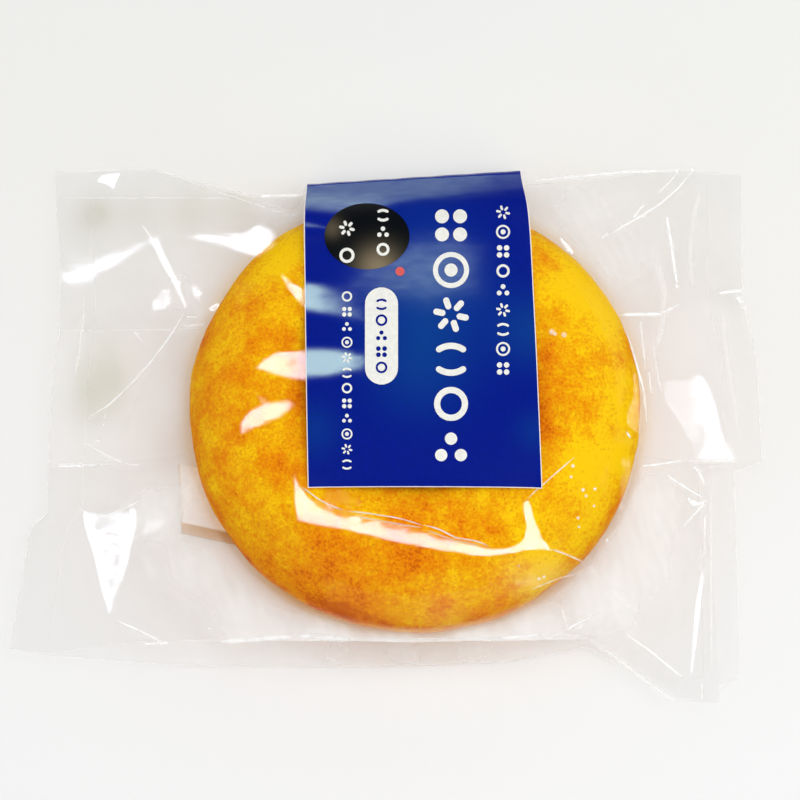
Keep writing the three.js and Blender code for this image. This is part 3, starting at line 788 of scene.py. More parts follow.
def gusset_places(front_side, back_side, fold_side, front, back):
    """A side of the bag folded inwards: from the front panel's edge to the fold and out to the back's."""
    columns, rows = GUSSET_CELLS
    t = np.linspace(0, 2, 2 * rows + 1)[None, :]
    left_x, right_x = front_side[0, 0], front_side[-1, 0]
    edge_x = left_x + (right_x - left_x) * np.linspace(0, 1, columns)[:, None]
    outward = 1 if front_side[0, 1] > 0 else -1
    circle = (DOUGHNUT_RADIUS + FOLD_CLEARANCE) ** 2 - (edge_x - DOUGHNUT[0]) ** 2
    pushed = DOUGHNUT[1] + outward * np.sqrt(np.maximum(circle, 0))
    fold_y = side_at(fold_side, edge_x, 0)
    fold_y = np.maximum(fold_y, pushed) if outward > 0 else np.minimum(fold_y, pushed)
    edge_y = np.where(t < 1, side_at(front_side, edge_x, 0), side_at(back_side, edge_x, 0))
    into = 1 - np.abs(t - 1)
    y = edge_y + (fold_y - edge_y) * into
    left_end, right_end = side_at(LEFT_SIDE, y, 1), side_at(RIGHT_SIDE, y, 1)
    x = np.where(edge_x < 0, np.maximum(edge_x, left_end), np.minimum(edge_x, right_end))
    high, low = sampled(front, x, y), sampled(back, x, y)
    upper_share = 1 - FOLD_GAP * np.clip(into * 8, 0, 1) - (0.5 - FOLD_GAP) * into ** 2
    share = np.where(t < 1, upper_share, 1 - upper_share)
    return np.stack([x, y, low + (high - low) * share], axis=-1)


def new_material(name, color, alpha=1.0):
    """A material with its node tree emptied, and its plain colour for solid views."""
    material = bpy.data.materials.new(name)
    material.use_nodes = True
    material.node_tree.nodes.clear()
    material.diffuse_color = (*color, alpha)
    return material


def add(owner, kind, values=None, output=0, **settings):
    """One output of a new shader node in a material or the world.

    The node gets its settings and the values of its inputs, each of which may be an output of another node.
    """
    made = owner.node_tree.nodes.new("ShaderNode" + kind)
    for name, value in settings.items():
        setattr(made, name, value)
    for name, value in (values or {}).items():
        if isinstance(value, bpy.types.NodeSocket):
            owner.node_tree.links.new(value, made.inputs[name])
        else:
            made.inputs[name].default_value = value
    return made.outputs[output] if len(made.outputs) else None


def worked_out(owner, operation, *values):
    """The result of a Math node."""
    return add(owner, "Math", dict(enumerate(values)), operation=operation)


def ranged(owner, value, low=0.0, high=1.0, to_low=0.0, to_high=1.0, **settings):
    """A value carried from one range over to another, and kept inside it."""
    return add(owner, "MapRange", {
        "Value": value, "From Min": low, "From Max": high, "To Min": to_low, "To Max": to_high}, **settings)


def place_of(material):
    """Where a point of the mesh lies, in metres."""
    return add(material, "TexCoord", output="Object")


def tone_of(material):
    """The mesh's own tone."""
    return add(material, "Attribute", output="Fac", attribute_name="tone")


def mottling(material, scale, detail, roughness=0.5):
    """Soft noise over a material."""
    return add(material, "TexNoise", {
        "Vector": place_of(material), "Scale": scale, "Detail": detail, "Roughness": roughness})


def blended(material, share, first, second):
    """The colour between two colours, by a share."""
    return add(material, "Mix", {0: share, 6: first, 7: second}, 2, data_type="RGBA")


def mixed(material, share, first, second):
    """The shader between two shaders, by a share."""
    return add(material, "MixShader", {0: share, 1: first, 2: second})


def finish_material(material, shader):
    """The material, once a shader is its surface."""
    add(material, "OutputMaterial", {"Surface": shader})
    return material


def film_material(name, dark_color):
    """Clear film: what lies behind shows through, slightly warm, and a share of the light is mirrored.

    The mesh's tone makes it milky where it is above 0, partly as loose creased film is and partly as
    painted light, and turns it to the dark colour where it is below, which paints shade, and on the back
    film the crust's reflection. A milky area casts less shade than its whiteness would.
    """
    clear = (0.999, 0.998, 0.997)
    material = new_material(name, clear, 0.2)
    steep = worked_out(material, "POWER", add(material, "LayerWeight", {"Blend": 0.5}, "Facing"), 4.0)
    mirrored = ranged(material, steep, to_low=0.012, to_high=0.06)
    tone = tone_of(material)
    for_shade = add(material, "LightPath", output="Is Shadow Ray")
    dimming = ranged(material, for_shade, to_low=1.0, to_high=MILKY_SHADOW)
    milky = worked_out(material, "MULTIPLY", ranged(material, tone, to_high=0.72), dimming)
    color = blended(material, ranged(material, tone, high=-1.0), (*clear, 1), (*dark_color, 1))
    through = add(material, "BsdfTransparent", {"Color": color})
    white = add(material, "BsdfDiffuse", {"Color": (0.95, 0.94, 0.93, 1)})
    mirror = add(material, "BsdfAnisotropic", {"Color": (1, 1, 1, 1), "Roughness": 0.06})
    hazy = mixed(material, milky, through, white)
    return finish_material(material, mixed(material, mirrored, hazy, mirror))


def crease_material(name, share):
    """Film along a crease or a cut edge: partly clear, partly white by the mesh's tone, the white being a
    painted highlight along the crease or edge.
    """
    material = new_material(name, (0.96, 0.95, 0.94), share)
    strength = ranged(material, mottling(material, 350.0, 2.0), 0.3, 0.7, share * 0.6, share * 1.3)
    covered = worked_out(material, "MULTIPLY", strength, tone_of(material))
    through = add(material, "BsdfTransparent", {"Color": (1.0, 1.0, 1.0, 1)})
    white = add(material, "BsdfDiffuse", {"Color": (0.98, 0.98, 0.98, 1)})
    return finish_material(material, mixed(material, covered, through, white))


def ramped(material, value, stops):
    """A colour by a value: stops are values and their colours."""
    color = add(material, "ValToRGB", {"Fac": value})
    elements = color.node.color_ramp.elements
    for k, (position, shade) in enumerate((stops[0], stops[-1])):
        elements[k].position, elements[k].color = position, (*shade, 1)
    for position, shade in stops[1:-1]:
        elements.new(position).color = (*shade, 1)
    return color


def crust_material():
    """Baked crust: yellow to orange brown by the mesh's own tone, with mottling, grain and dark pores."""
    material = new_material("crust", (0.8, 0.36, 0.01))
    level = tone_of(material)
    for scale, detail, roughness, strength in CRUST_MOTTLING:
        centred = worked_out(material, "ADD", mottling(material, scale, detail, roughness), -0.5)
        level = worked_out(material, "MULTIPLY_ADD", centred, strength, level)
    cells = add(material, "TexVoronoi", {"Vector": place_of(material), "Scale": 1100.0}, "Distance")
    pore = ranged(material, cells, 0.12, 0.3, 1.0, 0.0)
    there = ranged(material, mottling(material, 300.0, 2.0), 0.42, 0.58, 0.0, 0.5)
    share = worked_out(material, "MULTIPLY", pore, there)
    color = blended(material, share, ramped(material, level, CRUST_COLORS), (0.58, 0.16, 0.003, 1))
    relief = worked_out(material, "MULTIPLY_ADD", share, -0.5, mottling(material, 900.0, 4.0, 0.6))
    bump = add(material, "Bump", {"Strength": 0.55, "Distance": 0.0003, "Height": relief})
    return finish_material(material, add(material, "BsdfPrincipled", {
        "Base Color": color, "Roughness": 0.8, "Normal": bump, "Specular IOR Level": 0.02}))


def paper_material(name, color, roughness, gloss, painted_light_color=None):
    """Coated paper or print with a faint grain, going over to a painted colour by the mesh's tone: painted
    sheen on the front label and its print, painted shadow on the back sticker.
    """
    material = new_material(name, color)
    grain = mottling(material, 1200.0, 3.0)
    lighter = tuple(min(value * 1.06, 1.0) for value in color)
    darker = tuple(value * 0.94 for value in color)
    shade = ramped(material, grain, [(0.3, darker), (0.7, lighter)])
    if painted_light_color:
        shade = blended(material, tone_of(material), shade, (*painted_light_color, 1))
    bump = add(material, "Bump", {"Strength": 0.06, "Distance": 0.0001, "Height": grain})
    return finish_material(material, add(material, "BsdfPrincipled", {
        "Base Color": shade, "Roughness": roughness, "Normal": bump, "Specular IOR Level": gloss,
        "Specular Tint": (0.72, 0.92, 0.5, 1)}))


def make_doughnut(material):
    """The doughnut: a ring with a rounded section, uneven as baked dough is."""
    around, section = DOUGHNUT_CELLS
    turn = np.linspace(0, 2 * math.pi, section, endpoint=False)
    across, up = np.cos(turn), np.sin(turn)
    upper = up >= 0
    middle = np.where(upper, CROWN_RADIUS, np.where(across > 0, FOOT_RADIUS, INNER_FOOT_RADIUS))
    reach = np.where(across > 0, DOUGHNUT_RADIUS - middle, middle - HOLE_RADIUS)
    radius = middle + np.sign(across) * reach * np.abs(across) ** (2 / ROUNDNESS)
    height = np.where(upper, DOUGHNUT_HEIGHT, FOOT_LEVEL)
    height = WIDEST_HEIGHT + (height - WIDEST_HEIGHT) * np.abs(up)
    angle = np.linspace(0, 2 * math.pi, around, endpoint=False)
    x = DOUGHNUT[0] + np.cos(angle)[:, None] * radius
    y = DOUGHNUT[1] + np.sin(angle)[:, None] * radius
    grid = np.stack([x, y, np.broadcast_to(height, x.shape)], axis=-1)
    along = np.roll(grid, -1, 0) - np.roll(grid, 1, 0)
    over = np.roll(grid, -1, 1) - np.roll(grid, 1, 1)
    points = grid.reshape(-1, 3)
    lump = np.array([min(layered(place, DOUGH_LUMPS), HIGHEST_LUMP) for place in points.tolist()])
    lump = lump * np.clip((points[:, 2] - FOOT_LEVEL) / 4, 0, 1)
    points = points + unit(np.cross(along, over)).reshape(-1, 3) * lump[:, None]
    made = piece("doughnut", points, grid_faces(around, section, True, True), material)
    set_tone(made, crust_tone(points))
    return made


def layered(place, layers):
    """Noise at a place, summed over layers that each have a width and a strength."""
    return sum(strength * noise.noise(Vector(place) / width) for width, strength in layers)


def crust_tone(points):
    """How light the crust is, from 0 brown to 1 yellow: a yellow rim, a browner top and uneven areas."""
    height = points[:, 2]
    tone = np.interp(from_middle(points[:, 0], points[:, 1]), *CRUST_RINGS)
    tone = np.where(height < WIDEST_HEIGHT, np.interp(height, [0, WIDEST_HEIGHT], FOOT_TONES), tone)
    tone = tone + [layered(place, CRUST_UNEVEN) for place in points.tolist()]
    return tone + area_tone(CRUST_AREAS, points) * (height > WIDEST_HEIGHT)


def area_tone(areas, points):
    """How much points are changed by soft round areas of the photograph."""
    total = np.zeros(len(points))
    pixels = seen_at(points)
    for px, py, size, change in areas.values():
        distance = np.hypot(*(pixels - (px, py)).T)
        total += change * np.exp(-(distance / size) ** 2)
    return total


def set_tone(made, values):
    """Gives a mesh its tone, which its material reads."""
    tone = made.data.attributes.new("tone", "FLOAT", "POINT")
    tone.data.foreach_set("value", values)


def tube(path, radius, sides=8):
    """Points and faces of a thin round bead along a path, thinner towards its ends."""
    ahead = unit(np.gradient(path, axis=0))
    flat = unit(np.cross(ahead, [0.0, 0.0, 1.0]))
    over = np.cross(flat, ahead)
    turn = np.linspace(0, 2 * math.pi, sides, endpoint=False)
    ring_around = np.cos(turn)[None, :, None] * flat[:, None] + np.sin(turn)[None, :, None] * over[:, None]
    share = np.linspace(0, 1, len(path))
    taper = np.clip(np.minimum(share, 1 - share) * 5, 0.25, 1)
    points = path[:, None] + (radius * taper)[:, None, None] * ring_around
    return points.reshape(-1, 3), grid_faces(len(path), sides, close_columns=True)


def joined(parts):
    """Several sets of points and faces as one."""
    points, faces, count = [], [], 0
    for some_points, some_faces in parts:
        points.append(some_points)
        faces.append(some_faces + count)
        count += len(some_points)
    return np.concatenate(points), np.concatenate(faces)


def along_line(points):
    """How far along a line of pixels each of its points lies."""
    return np.concatenate([[0], np.cumsum(np.hypot(*np.diff(points, axis=0).T))])


def at_distances(points, places):
    """The points of a line of pixels at distances along it."""
    along = along_line(points)
    return np.column_stack([np.interp(places, along, points[:, axis]) for axis in (0, 1)])


def curved(pixels):
    """A smooth curve through pixels, with evenly spaced points."""
    points = np.array(pixels, float)
    length = along_line(points)[-1]
    count = max(int(length / CREASE_SPACING), 2) + 1
    line = at_distances(points, np.linspace(0, length, count))
    for _ in range(3):
        line[1:-1] = (line[:-2] + 2 * line[1:-1] + line[2:]) / 4
    return line


def sideways(line):
    """Directions square to a line of pixels."""
    ahead = unit(np.gradient(line, axis=0))
    return np.column_stack([-ahead[:, 1], ahead[:, 0]])


def make_creases(front, material):
    """Painted highlights: soft white ribbons along the front film's creases, and small glints, all fading
    towards their edges.
    """
    lanes = np.linspace(-1, 1, CREASE_LANES)
    ribbons, tones = [], []
    for width, strength, pixels in CREASES.values():
        line = curved(pixels)
        share = np.linspace(0, 1, len(line))
        taper = np.clip(np.minimum(share, 1 - share) * 6, 0, 1)
        half = width / 2 * (0.5 + 0.5 * taper)
        points = line[:, None] + (half[:, None] * lanes)[..., None] * sideways(line)[:, None]
        ribbons.append((points.reshape(-1, 2), grid_faces(len(line), len(lanes))))
        tones.append((strength * np.sqrt(taper)[:, None] * (1 - lanes ** 2)).ravel())
    for px, py, radius, strength in PAINTED_GLINTS:
        spot, faces = disc((px, py), 2 * radius, 2 * radius, SPOT_CELLS)
        ribbons.append((spot, faces[:, ::-1]))
        tones.append(strength * (1 - ((spot - (px, py)) ** 2).sum(axis=1) / radius ** 2))
    pixels, faces = joined(ribbons)
    places = on_film(pixels, front)
    places[:, 2] += CREASE_LIFT
    made = piece("film_painted_highlights", places, faces[:, ::-1], material)
    set_tone(made, np.concatenate(tones))
    return made


def make_edges(panels, material):
    """Thin beads along the edges of the panels, but where the label is folded over, and along the seals."""
    beads = []
    for places in panels:
        far = places[:, -1]
        left_part, right_part = far[far[:, 0] < LABEL_REACH[0]], far[far[:, 0] > LABEL_REACH[1]]
        for line in (places[:, 0], left_part, right_part, places[0], places[-1]):
            beads.append(tube(line[::2], EDGE_WIDTH / 2))
    front = panels[0]
    ends = ((LEFT_SIDE, front[SEAL_COLUMN], 1), (RIGHT_SIDE, front[-1 - SEAL_COLUMN], -1))
    for side, column, inward in ends:
        seal_x = side_at(side, column[:, 1], 1) + inward * SEAL_WIDTH
        line = np.column_stack([seal_x, column[:, 1], np.full(len(column), END_HEIGHT + END_GAP)])
        beads.append(tube(line[4:-4:2], EDGE_WIDTH / 3))
    made = piece("film_edges", *joined(beads), material)
    set_tone(made, np.ones(len(made.data.vertices)))
    return made


def label_places(front):
    """The label's places: up the front film, over the far edge, down the side and under the back."""
    width, near = FRONT_LABEL["width"], FRONT_LABEL["near"]
    length = FRONT_FAR[5, 1] - near
    border = LABEL_BORDER / width
    columns, rows = LABEL_CELLS
    across = np.concatenate([[-0.5], np.linspace(-0.5 + border, 0.5 - border, columns), [0.5]])[:, None]
    start = FRONT_LABEL["x"] + width * across
    edge_x = start + FRONT_LABEL["lean"] * length
    edge_y = side_at(FRONT_FAR, edge_x, 0) - FRONT_LABEL["edge_in"]
    t = np.concatenate([[0], np.linspace(LABEL_BORDER / length, 1, rows)])[None, :]
    x = start + (edge_x - start) * t
    y = near + (edge_y - near) * t
    z = sampled(front, x, y) + FRONT_LABEL["gap"]
    back_y = side_at(BACK_FAR, edge_x, 0) + FRONT_LABEL["wall_out"]
    t = np.linspace(0, 1, WALL_ROWS + 1)[None, 1:]
    wall_y = edge_y + (back_y - edge_y) * t + FRONT_LABEL["bulge"] * np.sin(math.pi * t)
    wall_z = z[:, -1:] + (FRONT_LABEL["under"] - z[:, -1:]) * t
    under_y = back_y - FRONT_LABEL["back"] * np.linspace(0, 1, UNDER_ROWS + 1)[None, 1:]
    x = np.concatenate([x, np.repeat(edge_x, WALL_ROWS + UNDER_ROWS, axis=1)], axis=1)
    y = np.concatenate([y, wall_y, under_y], axis=1)
    z = np.concatenate([z, wall_z, np.full_like(under_y, FRONT_LABEL["under"])], axis=1)
    return np.stack([x, y, z], axis=-1)


def shell(upper, lower):
    """Points and faces of a thin sheet: its upper side, its lower side and the rim between them."""
    columns, rows = upper.shape[:2]
    count = columns * rows
    index = np.arange(count).reshape(columns, rows)
    around = np.concatenate([index[:, 0], index[-1, 1:], index[-2::-1, -1], index[0, -2:0:-1]])
    after = np.roll(around, -1)
    faces = grid_faces(columns, rows)
    rim = np.stack([around, around + count, after + count, after], axis=-1)
    points = np.concatenate([upper.reshape(-1, 3), lower.reshape(-1, 3)])
    return points, np.concatenate([faces, faces[:, ::-1] + count, rim])


def make_label(front, blue, paper):
    """The front label: a thin shell, coloured outside, with a bare border and bare paper inside."""
    inner = label_places(front)
    columns, rows = inner.shape[:2]
    straight = grid_normals(inner)
    outer = inner + straight * LABEL_THICKNESS
    patches = [(miss, HAZE_ROUGHNESS, blur, on_film(outline, front)[:, :2])
               for miss, blur, outline in HAZE.values()]
    normals = turned_normals(outer, patches, LABEL_CLEARANCE, 0.0)
    on_top = np.arange(rows)[None, :, None] < rows - WALL_ROWS - UNDER_ROWS - 2
    normals = np.where(on_top, normals, straight)
    points, faces = shell(outer, inner)
    made = piece("front_label_sheet", points, faces, blue, paper,
                 normals=np.concatenate([normals.reshape(-1, 3), -straight.reshape(-1, 3)]))
    i, j = np.indices((columns - 1, rows - 1))
    bare = ((i == 0) | (i == columns - 2) | (j == 0)).ravel()
    kinds = np.ones(len(faces), np.int32)
    kinds[:len(bare)] = bare
    made.data.polygons.foreach_set("material_index", kinds)
    # The label's blue is painted paler in places as sheen.
    tone = area_tone(LABEL_PAINTED_SHEEN, outer.reshape(-1, 3))
    set_tone(made, np.concatenate([tone, np.zeros(len(tone))]))
    return made


def make_sticker(material):
    """The back sticker: a thin sheet with painted shadow, brown on a strip along its near edge and darker
    on its left end.
    """
    near_left, near_right, _, far_left = sticker_corners()
    columns, rows = STICKER_CELLS
    across, along = np.linspace(0, 1, columns)[:, None, None], np.linspace(0, 1, rows)[None, :, None]
    length = np.linalg.norm(far_left - near_left)
    along = along * (1 + STICKER_SHADOW_STRIP / length) - STICKER_SHADOW_STRIP / length
    lower = near_left + across * (near_right - near_left) + along * (far_left - near_left)
    made = piece("sticker_with_painted_shadow", *shell(lower + [0.0, 0.0, BACK_LABEL_THICKNESS], lower), material)
    made.data.polygons.foreach_set("use_smooth", [False] * len(made.data.polygons))
    # Painted shadow: brown on the strip along the near edge and darker on the left end.
    into = -along * length
    painted_shadow = np.clip(into / SHADOW_STRIP_BLUR, 0, 1) * np.clip(1 - into / STICKER_SHADOW_STRIP * SHADOW_STRIP_FADING, 0, 1)
    tone = np.maximum(painted_shadow, STICKER_END_SHADE * (across == 0)).ravel()
    set_tone(made, np.concatenate([tone, tone]))
    return made


def disc(middle, width, height, cells=12):
    """A round or oval patch of print, as points in pixels and faces."""
    line = np.linspace(-1, 1, cells + 1)
    u, v = np.meshgrid(line, line, indexing="ij")
    x = middle[0] + width / 2 * u * np.sqrt(1 - v ** 2 / 2)
    y = middle[1] + height / 2 * v * np.sqrt(1 - u ** 2 / 2)
    return np.stack([x, y], axis=-1).reshape(-1, 2), grid_faces(cells + 1, cells + 1)


def ring(middle, radius, width, sides=28):
    """A ring of print."""
    turn = np.linspace(0, 2 * math.pi, sides, endpoint=False)
    around = np.column_stack([np.cos(turn), np.sin(turn)])
    reach = radius + width * np.array([0.5, 0.0, -0.5])
    points = np.array(middle) + around[:, None] * reach[None, :, None]
    return points.reshape(-1, 2), grid_faces(sides, 3, close_rows=True)


def stroke(path, width, cells=5):
    """A bar of print with round ends along a path."""
    points = np.array(path, float)
    length = along_line(points)[-1]
    places = length * (1 - np.cos(np.linspace(0, math.pi, STROKE_POINTS))) / 2
    line = at_distances(points, places)
    to_end = np.clip(np.minimum(places, length - places) / (width / 2), 0, 1)
    half = width / 2 * np.sqrt(np.maximum(1 - (1 - to_end) ** 2, 0.02))
    offset = np.linspace(-1, 1, cells + 1)
    grid = line[:, None] + offset[None, :, None] * half[:, None, None] * sideways(line)[:, None]
    return grid.reshape(-1, 2), grid_faces(len(line), cells + 1)


def ornament(kind, middle, size, line):
    """A small plain shape of print."""
    def spot(dx, dy, width):
        return disc((middle[0] + dx * size, middle[1] + dy * size), width * size, width * size, SPOT_CELLS)

    def bar(points):
        return stroke([(middle[0] + dx * size, middle[1] + dy * size) for dx, dy in points], line, 2)

    if kind == "ring":
        return [ring(middle, 0.34 * size, line)]
    if kind == "target":
        return [ring(middle, 0.38 * size, line * 0.8), spot(0.0, 0.0, 0.32)]
    if kind == "petals":
        return [spot(0.22 * dx, 0.22 * dy, 0.34) for dx, dy in ((-1, -1), (1, -1), (1, 1), (-1, 1))]
    if kind == "drops":
        return [spot(dx, dy, 0.3) for dx, dy in ((0.0, -0.24), (-0.24, 0.16), (0.24, 0.16))]
    if kind == "wheel":
        turns = np.arange(6) * math.pi / 3 + 0.2
        return [bar([(reach * math.cos(t), reach * math.sin(t)) for reach in (0.14, 0.44)]) for t in turns]
    bends = np.linspace(0.25 * math.pi, 0.75 * math.pi, 9)
    return [bar([(0.5 * math.cos(t), way * (0.45 * math.sin(t) - 0.12)) for t in bends]) for way in (1, -1)]


def column_of(values):
    """Small shapes one under the other."""
    shapes = []
    for k in range(values["count"]):
        y = values["first"] + (values["last"] - values["first"]) * k / (values["count"] - 1)
        kind = values["shapes"][k % len(values["shapes"])]
        shapes += ornament(kind, (values["x"], y), values["size"], values["line"])
    return shapes


def printed(name, shapes, front, level, material, areas=None):
    """Shapes of print laid on the front label, painted paler in the areas as sheen."""
    pixels, faces = joined(shapes)
    places = on_film(pixels, front)
    x, y = places[:, 0], places[:, 1]
    slope = [(sampled(front, x + dx, y + dy) - sampled(front, x - dx, y - dy)) / STEP
             for dx, dy in ((STEP / 2, 0), (0, STEP / 2))]
    lift = LABEL_THICKNESS * PRINT_OVER + PRINT_LIFT * level
    places[:, 2] += FRONT_LABEL["gap"] + lift * np.sqrt(1 + slope[0] ** 2 + slope[1] ** 2)
    made = piece(name, places, faces[:, ::-1], material)
    set_tone(made, area_tone(areas or {}, places))
    return made


def make_print(front, blue):
    """The print: an oval and a pill with shapes in them, a spot and three columns of shapes."""
    white = paper_material("print_white", (0.78, 0.78, 0.74), 0.5, 0.06)
    # The oval's black goes over to a paler brown in its areas: painted sheen.
    black = paper_material("print_black_painted_sheen", (0.002, 0.003, 0.006), 0.5, 0.04, (0.24, 0.19, 0.12))
    red = paper_material("print_red", (0.66, 0.10, 0.10), 0.5, 0.1)
    oval = disc(OVAL["middle"], OVAL["width"], OVAL["height"], 24)
    pill = stroke([(PILL["x"], PILL["top"]), (PILL["x"], PILL["bottom"])], PILL["width"], 10)
    spot = disc(SPOT["middle"], SPOT["width"], SPOT["height"], SPOT_CELLS)
    columns = [shape for values in COLUMNS.values() for shape in column_of(values)]
    in_oval = [shape for values in OVAL_COLUMNS.values() for shape in column_of(values)]
    return [
        printed("print_oval", [oval], front, 1, black, OVAL_PAINTED_SHEEN),
        printed("print_pill", [pill], front, 1, white),
        printed("print_spot", [spot], front, 2, red),
        printed("print_columns", columns, front, 1, white),
        printed("print_in_oval", in_oval, front, 2, white),
        printed("print_in_pill", column_of(PILL_COLUMN), front, 2, blue)]


def soft_round(material, middle, reach):
    """A share that is 1 in the middle of an oval on the floor and 0 from its reach on, in millimetres."""
    scale = (1 / (reach[0] * MM), 1 / (reach[1] * MM), 0.0)
    shift = (-middle[0] / reach[0], -middle[1] / reach[1], 0.0)
    place = place_of(material)
    moved = add(material, "VectorMath", {0: place, 1: scale, 2: shift}, operation="MULTIPLY_ADD")
    far = add(material, "VectorMath", {0: moved}, "Value", operation="LENGTH")
    return ranged(material, far, to_low=1.0, to_high=0.0, interpolation_type="SMOOTHSTEP")


def make_floor():
    """The pale floor, with painted light: a little lighter in front of the part and round it, where its
    shade falls.
    """
    material = new_material("floor", (0.8, 0.8, 0.79))
    faint = ranged(material, mottling(material, 8.0, 2.0), to_low=-0.006, to_high=0.006)
    nearer = ranged(material, add(material, "SeparateXYZ", {0: place_of(material)}, "Y"), 0.06, -0.06)
    shares = [faint, *(soft_round(material, middle, reach) for middle, reach, _ in FLOOR_PAINTED_LIGHT)]
    channels = {}
    for k, name in enumerate(("Red", "Green", "Blue")):
        level = ranged(material, nearer, to_low=FLOOR_FAR[k], to_high=FLOOR_NEAR[k])
        for share, amount in zip(shares, [1.0, *(lift[k] for _, _, lift in FLOOR_PAINTED_LIGHT)]):
            level = worked_out(material, "MULTIPLY_ADD", share, amount, level)
        channels[name] = level
    color = add(material, "CombineColor", channels)
    finish_material(material, add(material, "BsdfDiffuse", {"Color": color}))
    square = ((-1, -1), (1, -1), (1, 1), (-1, 1))
    corners = [(x * FLOOR_HALF, y * FLOOR_HALF, FLOOR_LEVEL) for x, y in square]
    floor = piece("floor", corners, [(0, 1, 2, 3)], material)


def placed(name, data, place, direction):
    """A camera or lamp at a place in metres, turned to look in a direction."""
    made = bpy.data.objects.new(name, data)
    made.location = place
    made.rotation_euler = Vector(direction).to_track_quat("-Z", "Y").to_euler()
    bpy.context.scene.collection.objects.link(made)
    return made


def make_camera():
    """The camera of the photograph."""
    data = bpy.data.cameras.new("camera")
    data.sensor_width = SENSOR
    data.lens = SENSOR / 2 / math.tan(CAMERA_FIELD / 2)
    data.clip_start, data.clip_end = 0.01, 20.0
    bpy.context.scene.camera = placed("camera", data, EYE * MM, LOOK)


def area_lamp(name, place, width, radiance):
    """A round lamp that faces the bag, with its brightness per area and angle."""
    data = bpy.data.lights.new(name, "AREA")
    data.shape = "DISK"
    data.size = width * MM
    data.energy = radiance * math.pi * math.pi / 4 * data.size ** 2
    return placed(name, data, Vector(place) * MM, Vector(CAMERA_TARGET) - Vector(place))


def make_lights():
    """Even light from all round, a soft lamp at the near right and the lamp that the film mirrors.

    What shiny surfaces mirror is darker overhead than at the sides, as in a room with a dark ceiling.
    """
    world = bpy.data.worlds.new("studio")
    bpy.context.scene.world = world
    world.use_nodes = True
    world.node_tree.nodes.clear()
    height = add(world, "SeparateXYZ", {0: add(world, "TexCoord", output="Generated")}, "Z")
    mirrored = ranged(world, height, 0.2, 0.8, 0.26, 0.02, interpolation_type="SMOOTHSTEP")
    for_gloss = add(world, "LightPath", output="Is Glossy Ray")
    strength = add(world, "Mix", {"Factor": for_gloss, "A": WORLD_STRENGTH, "B": mirrored})
    background = add(world, "Background", {"Strength": strength, "Color": (1.0, 0.998, 0.985, 1)})
    add(world, "OutputWorld", {"Surface": background})
    for k, (width, radiance) in enumerate(LAMP_DISCS):
        disc_lamp = area_lamp(f"glare_{k}", LAMP + k * LAMP_GAP * LAMP_DIRECTION, width, radiance)
        disc_lamp.data.color = LAMP_COLOR
        disc_lamp.visible_diffuse = False
    soft = area_lamp("soft_lamp", SOFT_LAMP, SOFT_LAMP_WIDTH, SOFT_LAMP_RADIANCE)
    soft.visible_glossy = False


def rim_share(pixels):
    """How far pixels are from the doughnut's middle, as a share of the way to its rim."""
    return np.hypot(*((pixels - CRUST_MIDDLE) / CRUST_REACH).T)


def film_tone(places):
    """How milky or dark a film is, milky partly as creased film and partly as painted light, dark as
    painted shade: by its areas and in faint streaks, and clearer over the doughnut.
    """
    points = places.reshape(-1, 3)
    off_crust = np.clip((rim_share(seen_at(points)) - CLEAR_SHARE) / CLEAR_BLUR, 0, 1)
    tone = area_tone(FILM_MILK_AND_PAINTED_SHADE, points) * (1 + MILK_STREAKS * streaks(places).ravel())
    return (tone + MILK_ALL_OVER) * off_crust + area_tone(VEILS, points)


def painted_crust_reflection(places):
    """Painted reflection and shade of the crust's side on the back film: close round the doughnut, most on
    the near side.
    """
    pixels = seen_at(places.reshape(-1, 3))
    return -np.exp(-((rim_share(pixels) - 1) / PAINTED_REFLECTION_WIDTH) ** 2) * np.interp(pixels[:, 1], *PAINTED_REFLECTION_SHARES)


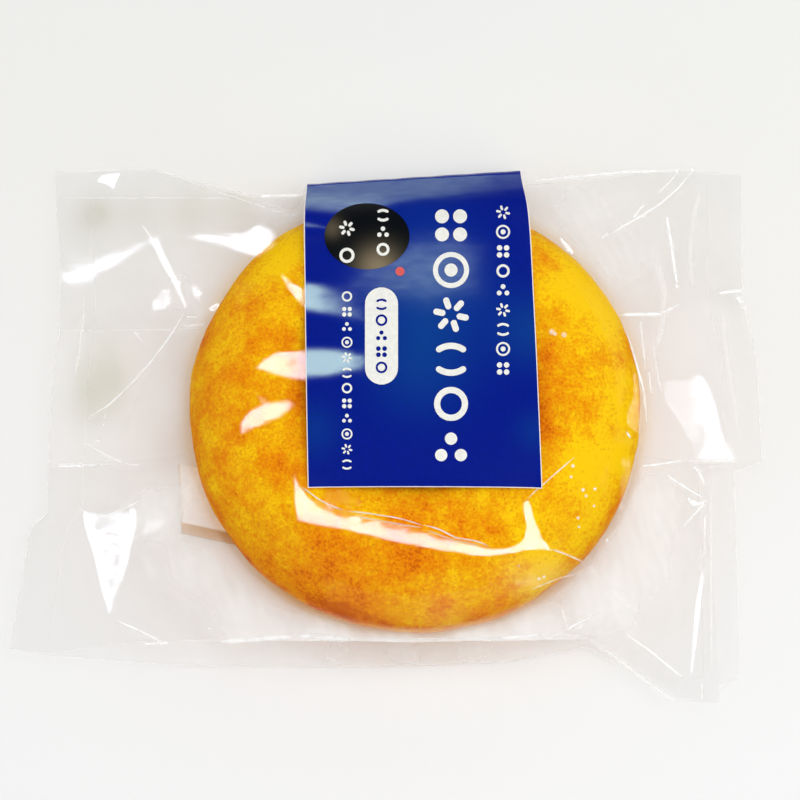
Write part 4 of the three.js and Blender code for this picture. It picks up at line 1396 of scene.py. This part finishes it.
def make_film(front, back):
    """The panels and folded sides of the bag, with their creases and edges."""
    # The clear film's dark colour is painted shade, and its milky areas are partly painted light.
    clear = film_material("film_clear", (0.86, 0.86, 0.80))
    # The back film's orange dark colour paints the crust's reflection and shade round the doughnut.
    warm = film_material("film_painted_reflection", (1.0, 0.74, 0.3))
    front_places = panel_places(FRONT_NEAR, FRONT_FAR, front, FRONT_CELLS)
    back_places = panel_places(BACK_NEAR, BACK_FAR, back, BACK_CELLS)
    far_side = gusset_places(FRONT_FAR, BACK_FAR, FAR_FOLD, front, back)
    near_side = gusset_places(FRONT_NEAR, BACK_NEAR, NEAR_FOLD, front, back)
    patches = [(*values, on_film(outline, front)[:, :2]) for *values, outline in GLARE.values()]
    return [
        film_sheet("film_front", front_places, clear, patches, film_tone(front_places)),
        film_sheet("film_back", back_places, warm, tone=painted_crust_reflection(back_places)),
        film_sheet("film_far_gusset", far_side, clear),
        film_sheet("film_near_gusset", near_side, clear, tone=NEAR_SIDE_TONE * film_tone(near_side)),
        make_creases(front, crease_material("film_painted_crease_highlight", 0.95)),
        make_edges([front_places, back_places], crease_material("film_edge_highlight", 0.35))]


make_camera()
make_floor()
make_lights()
front = front_film()
back = back_film()
film = make_film(front, back)
doughnut = make_doughnut(crust_material())
for each in (*film, doughnut):
    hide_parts("bag")
    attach(each, "root")
# The label's blue goes over to a paler blue by its tone: painted sheen.
blue = paper_material("label_blue_painted_sheen", (0.0001, 0.0075, 0.235), 0.2, 0.24, (0.002, 0.06, 0.27))
paper = paper_material("label_paper", (0.86, 0.80, 0.79), 0.6, 0.2)
sticker_paper_with_shadow = paper_material("sticker_paper", (0.97, 0.965, 0.965), 0.6, 0.2, (0.58, 0.30, 0.06))
label = make_label(front, blue, paper)
for each in (label, *make_print(front, blue)):
    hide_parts("front_label")
    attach(each, "root")
sticker = make_sticker(sticker_paper_with_shadow)
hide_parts("back_label")
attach(sticker, "root")

scene = bpy.context.scene
scene.view_settings.view_transform = "Standard"
scene.cycles.transparent_max_bounces = 32
